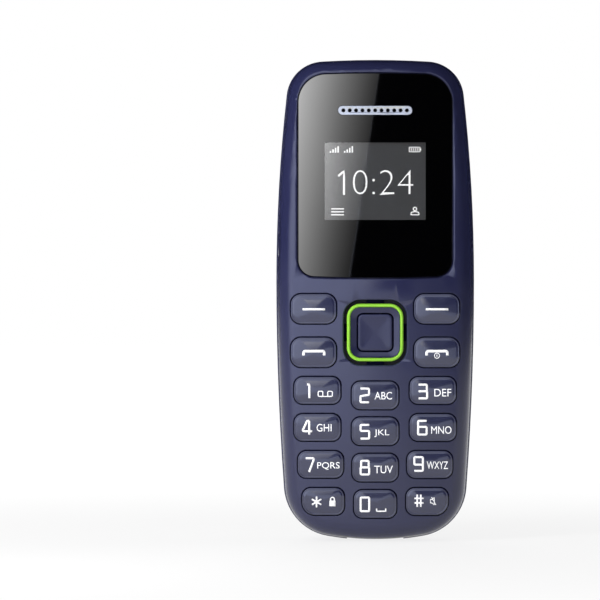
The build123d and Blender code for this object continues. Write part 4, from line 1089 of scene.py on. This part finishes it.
# %% Battery
BAND_TALL, FOIL_TALL = 3.4, 1.6
battery_foil = surface("aluminium_foil_wrapped", "#B9BCC1", "#CDD0D4", 0.3, grain=0.5, bump=0.2,
                       metallic=1.0)
battery_film = surface("printed_pet_label", "#D4D7DB", "#DEE0E4", 0.42, grain=0.3, bump=0.06)
battery_band = surface("polyester_tape_black", "#17181B", "#222327", 0.4, grain=0.3, bump=0.1)
battery_skin = skin("battery_pack", battery_foil)
battery_skin.data.materials.append(battery_film)
battery_skin.data.materials.append(battery_band)
low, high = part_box("battery_pack")
band_z, film_z = high[2] - BAND_TALL * MM, low[2] + FOIL_TALL * MM
work = bmesh.new()
work.from_mesh(battery_skin.data)
for height in (band_z, film_z):
    sliced(work, (0, 0, height), (0, 0, 1))
for face in work.faces:
    z = face.calc_center_median().z
    face.material_index = 2 if z > band_z else 1 if z > film_z else 0
work.to_mesh(battery_skin.data)
work.free()
finish_piece(battery_skin, "battery_pack")

# The signs are laid on as if the back were a front, and then mirrored to face backwards.
back_y = high[1]
# The signs use the key ink, so they carry its painted glow too.
marks = [ribbon([[(-7.6, 41.9), (-6.6, 41.9)], [(-7.1, 41.4), (-7.1, 42.4)],
                 [(-2.6, 41.9), (-1.6, 41.9)]], 0.22, 0.0, legend_ink_painted_glow)]
signs = lay_on(marks, "battery_signs", legend_ink_painted_glow, lambda x, z: back_y, lift=-0.006)
for vertex in signs.data.vertices:
    vertex.co.y = 2 * back_y - vertex.co.y
signs.data.flip_normals()
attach(signs, "battery")
print("battery", [round((b - a) / MM, 1) for a, b in zip(low, high)], "mm")

# %% [markdown]
# ## Floor and backdrop
# The phone stands on a white sweep. The floor and the world are white to the camera, in
# reflections and through clear pieces, and the floor keeps a faint shadow near the phone. To
# everything else the world gives only a little light, so that the lamp at the left shapes the
# phone.


# %% Floor and world
SHADOW_SHARE = 0.2
SHADOW_NEAR, SHADOW_FAR = 20, 160
WHITE_LEVEL = 1.02


def background_rays(tree):
    """One for a ray that shows the background: from the camera, a reflection or a clear piece."""
    ray = add_node(tree, "ShaderNodeLightPath")
    seen = add_node(tree, "ShaderNodeMath", {0: ray.outputs["Is Camera Ray"],
                                             1: ray.outputs["Is Glossy Ray"]}, operation="MAXIMUM")
    shown = add_node(tree, "ShaderNodeMath", {0: seen.outputs[0],
                                              1: ray.outputs["Is Transmission Ray"]},
                     operation="MAXIMUM")
    return shown.outputs[0]


def white_sweep():
    """A pale floor that is white to the camera and still keeps a soft shadow."""
    material, tree, shader, place = new_material("paper_sweep_white")
    shader.inputs["Base Color"].default_value = srgb("#F4F4F4")
    shader.inputs["Roughness"].default_value = 0.9
    away = add_node(tree, "ShaderNodeVectorMath", {0: place}, operation="LENGTH")
    cover = add_node(tree, "ShaderNodeMapRange",
                     {"Value": away.outputs["Value"], "From Min": SHADOW_NEAR * MM,
                      "From Max": SHADOW_FAR * MM, "To Min": 1 - SHADOW_SHARE, "To Max": 1.0},
                     interpolation_type="SMOOTHSTEP")
    share = add_node(tree, "ShaderNodeMath", {0: background_rays(tree), 1: cover.outputs[0]},
                     operation="MULTIPLY")
    white = add_node(tree, "ShaderNodeEmission", {"Color": srgb("#FFFFFF"), "Strength": WHITE_LEVEL})
    both = add_node(tree, "ShaderNodeMixShader", {0: share.outputs[0], 1: shader.outputs[0],
                                                  2: white.outputs[0]})
    tree.links.new(both.outputs[0], tree.nodes["Material Output"].inputs["Surface"])
    return material


REACH, DROP = 2.0, 0.02 * MM
floor_mesh = bpy.data.meshes.new("floor")
floor_mesh.from_pydata([(-REACH, -REACH, -DROP), (REACH, -REACH, -DROP), (REACH, REACH, -DROP),
                        (-REACH, REACH, -DROP)], [], [(0, 1, 2, 3)])
floor = link_mesh("floor", floor_mesh, white_sweep())

AMBIENT = 0.2
world = bpy.data.worlds.new("studio")
bpy.context.scene.world = world
world.use_nodes = True
sky = world.node_tree
level = add_node(sky, "ShaderNodeMapRange",
                 {"Value": background_rays(sky), "To Min": AMBIENT, "To Max": 1.0})
background = sky.nodes["Background"]
sky.links.new(level.outputs[0], background.inputs["Strength"])
background.inputs["Color"].default_value = srgb("#FFFFFF")
print("ambient level", AMBIENT)

# %% [markdown]
# ## Lamps
# The photograph's light comes from the left and falls away quickly, which needs a tall lamp
# close by: a far one would light both sides of a narrow phone alike. A weak lamp fills the
# right side, and one behind lights the back for the other views. None of them shows in
# reflections, which the next step makes by themselves.


# %% Lamps
def soft_lamp(name, place, aim, width, height, level):
    """A soft lamp turned towards a point. At that point white paper facing it shows the level."""
    data = bpy.data.lights.new(name, "AREA")
    data.shape = "RECTANGLE"
    data.size = width
    data.size_y = height
    away = Vector(aim) - Vector(place)
    data.energy = level * math.pi ** 2 * away.length_squared
    lamp = in_scene(name, data)
    lamp.location = place
    lamp.rotation_euler = away.to_track_quat("-Z", "Y").to_euler()
    lamp.visible_camera = False
    lamp.visible_glossy = False
    lamp.visible_transmission = False


middle = (0, 0, EYE_HEIGHT)
soft_lamp("left_strip", (-0.075, -0.08, 0.045), (0, FRONT_Y, EYE_HEIGHT), 0.03, 0.2, 1.3)
soft_lamp("right_fill", (0.6, 0.15, 0.35), middle, 0.4, 0.4, 0.2)
soft_lamp("rear_lamp", (-0.08, 0.6, 0.16), middle, 0.35, 0.35, 0.8)

# %% [markdown]
# ## Reflection cards
# Most of what a glossy dark phone shows is the room in front of it. Cards that are seen only in
# reflections, and in the clear window's own back reflection, build that room: a wide softbox,
# bright at the left and dying away to the right; a graded panel, which puts the slanted light
# on the black lens; and a black flag beside it, whose edge crosses the lens and darkens the
# upper right corner of every key. Black cards at both sides and overhead keep the phone's edges
# dark against the white, as in any photograph of a dark thing on white.


# %% Cards
def card(name, corners, material):
    """A flat card with four corners in millimetres, seen only in reflections and clear pieces."""
    mesh = bpy.data.meshes.new(name)
    mesh.from_pydata([Vector(corner) * MM for corner in corners], [], [(0, 1, 2, 3)])
    obj = link_mesh(name, mesh, material)
    obj.visible_camera = False
    obj.visible_diffuse = False
    obj.visible_volume_scatter = False
    obj.visible_shadow = False


def upright(corners, y):
    """The corners of an upright card at a depth, from their (x, z)."""
    return [(x, y, z) for x, z in corners]


def emitter(name):
    """An empty material whose tree ends in an emission node, and the place it reads."""
    material, tree, shader, place = new_material(name)
    tree.nodes.remove(shader)
    apart = add_node(tree, "ShaderNodeSeparateXYZ", {"Vector": place})
    light = add_node(tree, "ShaderNodeEmission", {"Strength": 0.0})
    tree.links.new(light.outputs[0], tree.nodes["Material Output"].inputs["Surface"])
    return material, tree, apart, light


def ramp_of(tree, value, low, high, stops):
    """A value spread over a range and looked up in a ramp of (share of the range, brightness)."""
    spread = add_node(tree, "ShaderNodeMapRange",
                      {"Value": value, "From Min": low * MM, "From Max": high * MM})
    ramp = add_node(tree, "ShaderNodeValToRGB", {"Fac": spread.outputs[0]})
    while len(ramp.color_ramp.elements) < len(stops):
        ramp.color_ramp.elements.new(0.5)
    for element, (share, bright) in zip(ramp.color_ramp.elements, stops):
        element.position = share
        element.color = (bright, bright, bright, 1.0)
    return ramp.outputs["Color"]


SOFTBOX_X, SOFTBOX_Z = (-1000, 650), (-500, 600)
SOFTBOX_STOPS = [(0.0, 0.03), (0.17, 0.5), (0.33, 0.87), (0.455, 0.98), (0.57, 0.79), (0.63, 0.52),
                 (0.68, 0.2), (0.74, 0.03), (1.0, 0.01)]
SOFTBOX_RISE = [(0.0, 0.15), (0.3, 0.75), (0.45, 1.0), (0.62, 1.0), (0.8, 0.9), (1.0, 0.3)]
SOFTBOX_LEVEL = 2.9
SOFTBOX_TINT = "#E0E8FF"
softbox_light, tree, apart, light = emitter("softbox_graded")
across = ramp_of(tree, apart.outputs["X"], *SOFTBOX_X, SOFTBOX_STOPS)
upward = ramp_of(tree, apart.outputs["Z"], *SOFTBOX_Z, SOFTBOX_RISE)
both = add_node(tree, "ShaderNodeMath", {0: across, 1: upward}, operation="MULTIPLY")
strong = add_node(tree, "ShaderNodeMath", {0: both.outputs[0], 1: SOFTBOX_LEVEL},
                  operation="MULTIPLY")
tree.links.new(strong.outputs[0], light.inputs["Strength"])
light.inputs["Color"].default_value = srgb(SOFTBOX_TINT)

# The panel's brightness falls from left to right and from its top down, in display values, which
# a power turns to light.
PANEL_GAIN, PANEL_POWER, PANEL_FLOOR = 8.8, 2.2, 0.02
panel_light, tree, apart, light = emitter("panel_graded")
across = add_node(tree, "ShaderNodeMapRange", {"Value": apart.outputs["X"],
                                               "From Min": -19.6 * MM, "From Max": -1.4 * MM,
                                               "To Min": 0.667, "To Max": 0.23}, clamp=False)
down = add_node(tree, "ShaderNodeMapRange", {"Value": apart.outputs["Z"],
                                             "From Min": 90.6 * MM, "From Max": 44.0 * MM,
                                             "To Min": 0.0, "To Max": -0.2}, clamp=False)
total = add_node(tree, "ShaderNodeMath", {0: across.outputs[0], 1: down.outputs[0]})
safe = add_node(tree, "ShaderNodeMath", {0: total.outputs[0], 1: PANEL_FLOOR},
                operation="MAXIMUM")
linear = add_node(tree, "ShaderNodeMath", {0: safe.outputs[0], 1: PANEL_POWER}, operation="POWER")
bright = add_node(tree, "ShaderNodeMath", {0: linear.outputs[0], 1: PANEL_GAIN},
                  operation="MULTIPLY")
tree.links.new(bright.outputs[0], light.inputs["Strength"])

black_card = emitter("flag_black")[0]
PANEL_Y = (FRONT_Y - EYE_DISTANCE) / MM - 2
BOX_Y = PANEL_Y - 8
EDGE_FOOT, EDGE_LOW, EDGE_HIGH, EDGE_TOP = (-9.0, 28.0), (-7.6, 38.0), (1.4, 100.0), (7.2, 140.0)
TENT_DEPTH = 5000
left, right, foot, top = SOFTBOX_X + SOFTBOX_Z
card("softbox", upright([(left, foot), (right, foot), (right, top), (left, top)], BOX_Y),
     softbox_light)
card("grey_panel", upright([(-26, 38), EDGE_LOW, EDGE_HIGH, (-26, 100)], PANEL_Y), panel_light)
card("black_flag", upright([EDGE_FOOT, (220, 28), (220, 140), EDGE_TOP], PANEL_Y), black_card)
for name, x in (("left_flag", left), ("right_flag", right)):
    card(name, [(x, BOX_Y, 0), (x, TENT_DEPTH, 0), (x, TENT_DEPTH, top), (x, BOX_Y, top)],
         black_card)
card("top_flag", [(left, BOX_Y, top), (right, BOX_Y, top), (right, TENT_DEPTH, top),
                  (left, TENT_DEPTH, top)], black_card)
print("cards at", round(PANEL_Y), "mm")

# %% [markdown]
# ## Colour view
# The picture's colours are shown as they are computed.

# %% Finish
bpy.context.scene.view_settings.view_transform = "Standard"
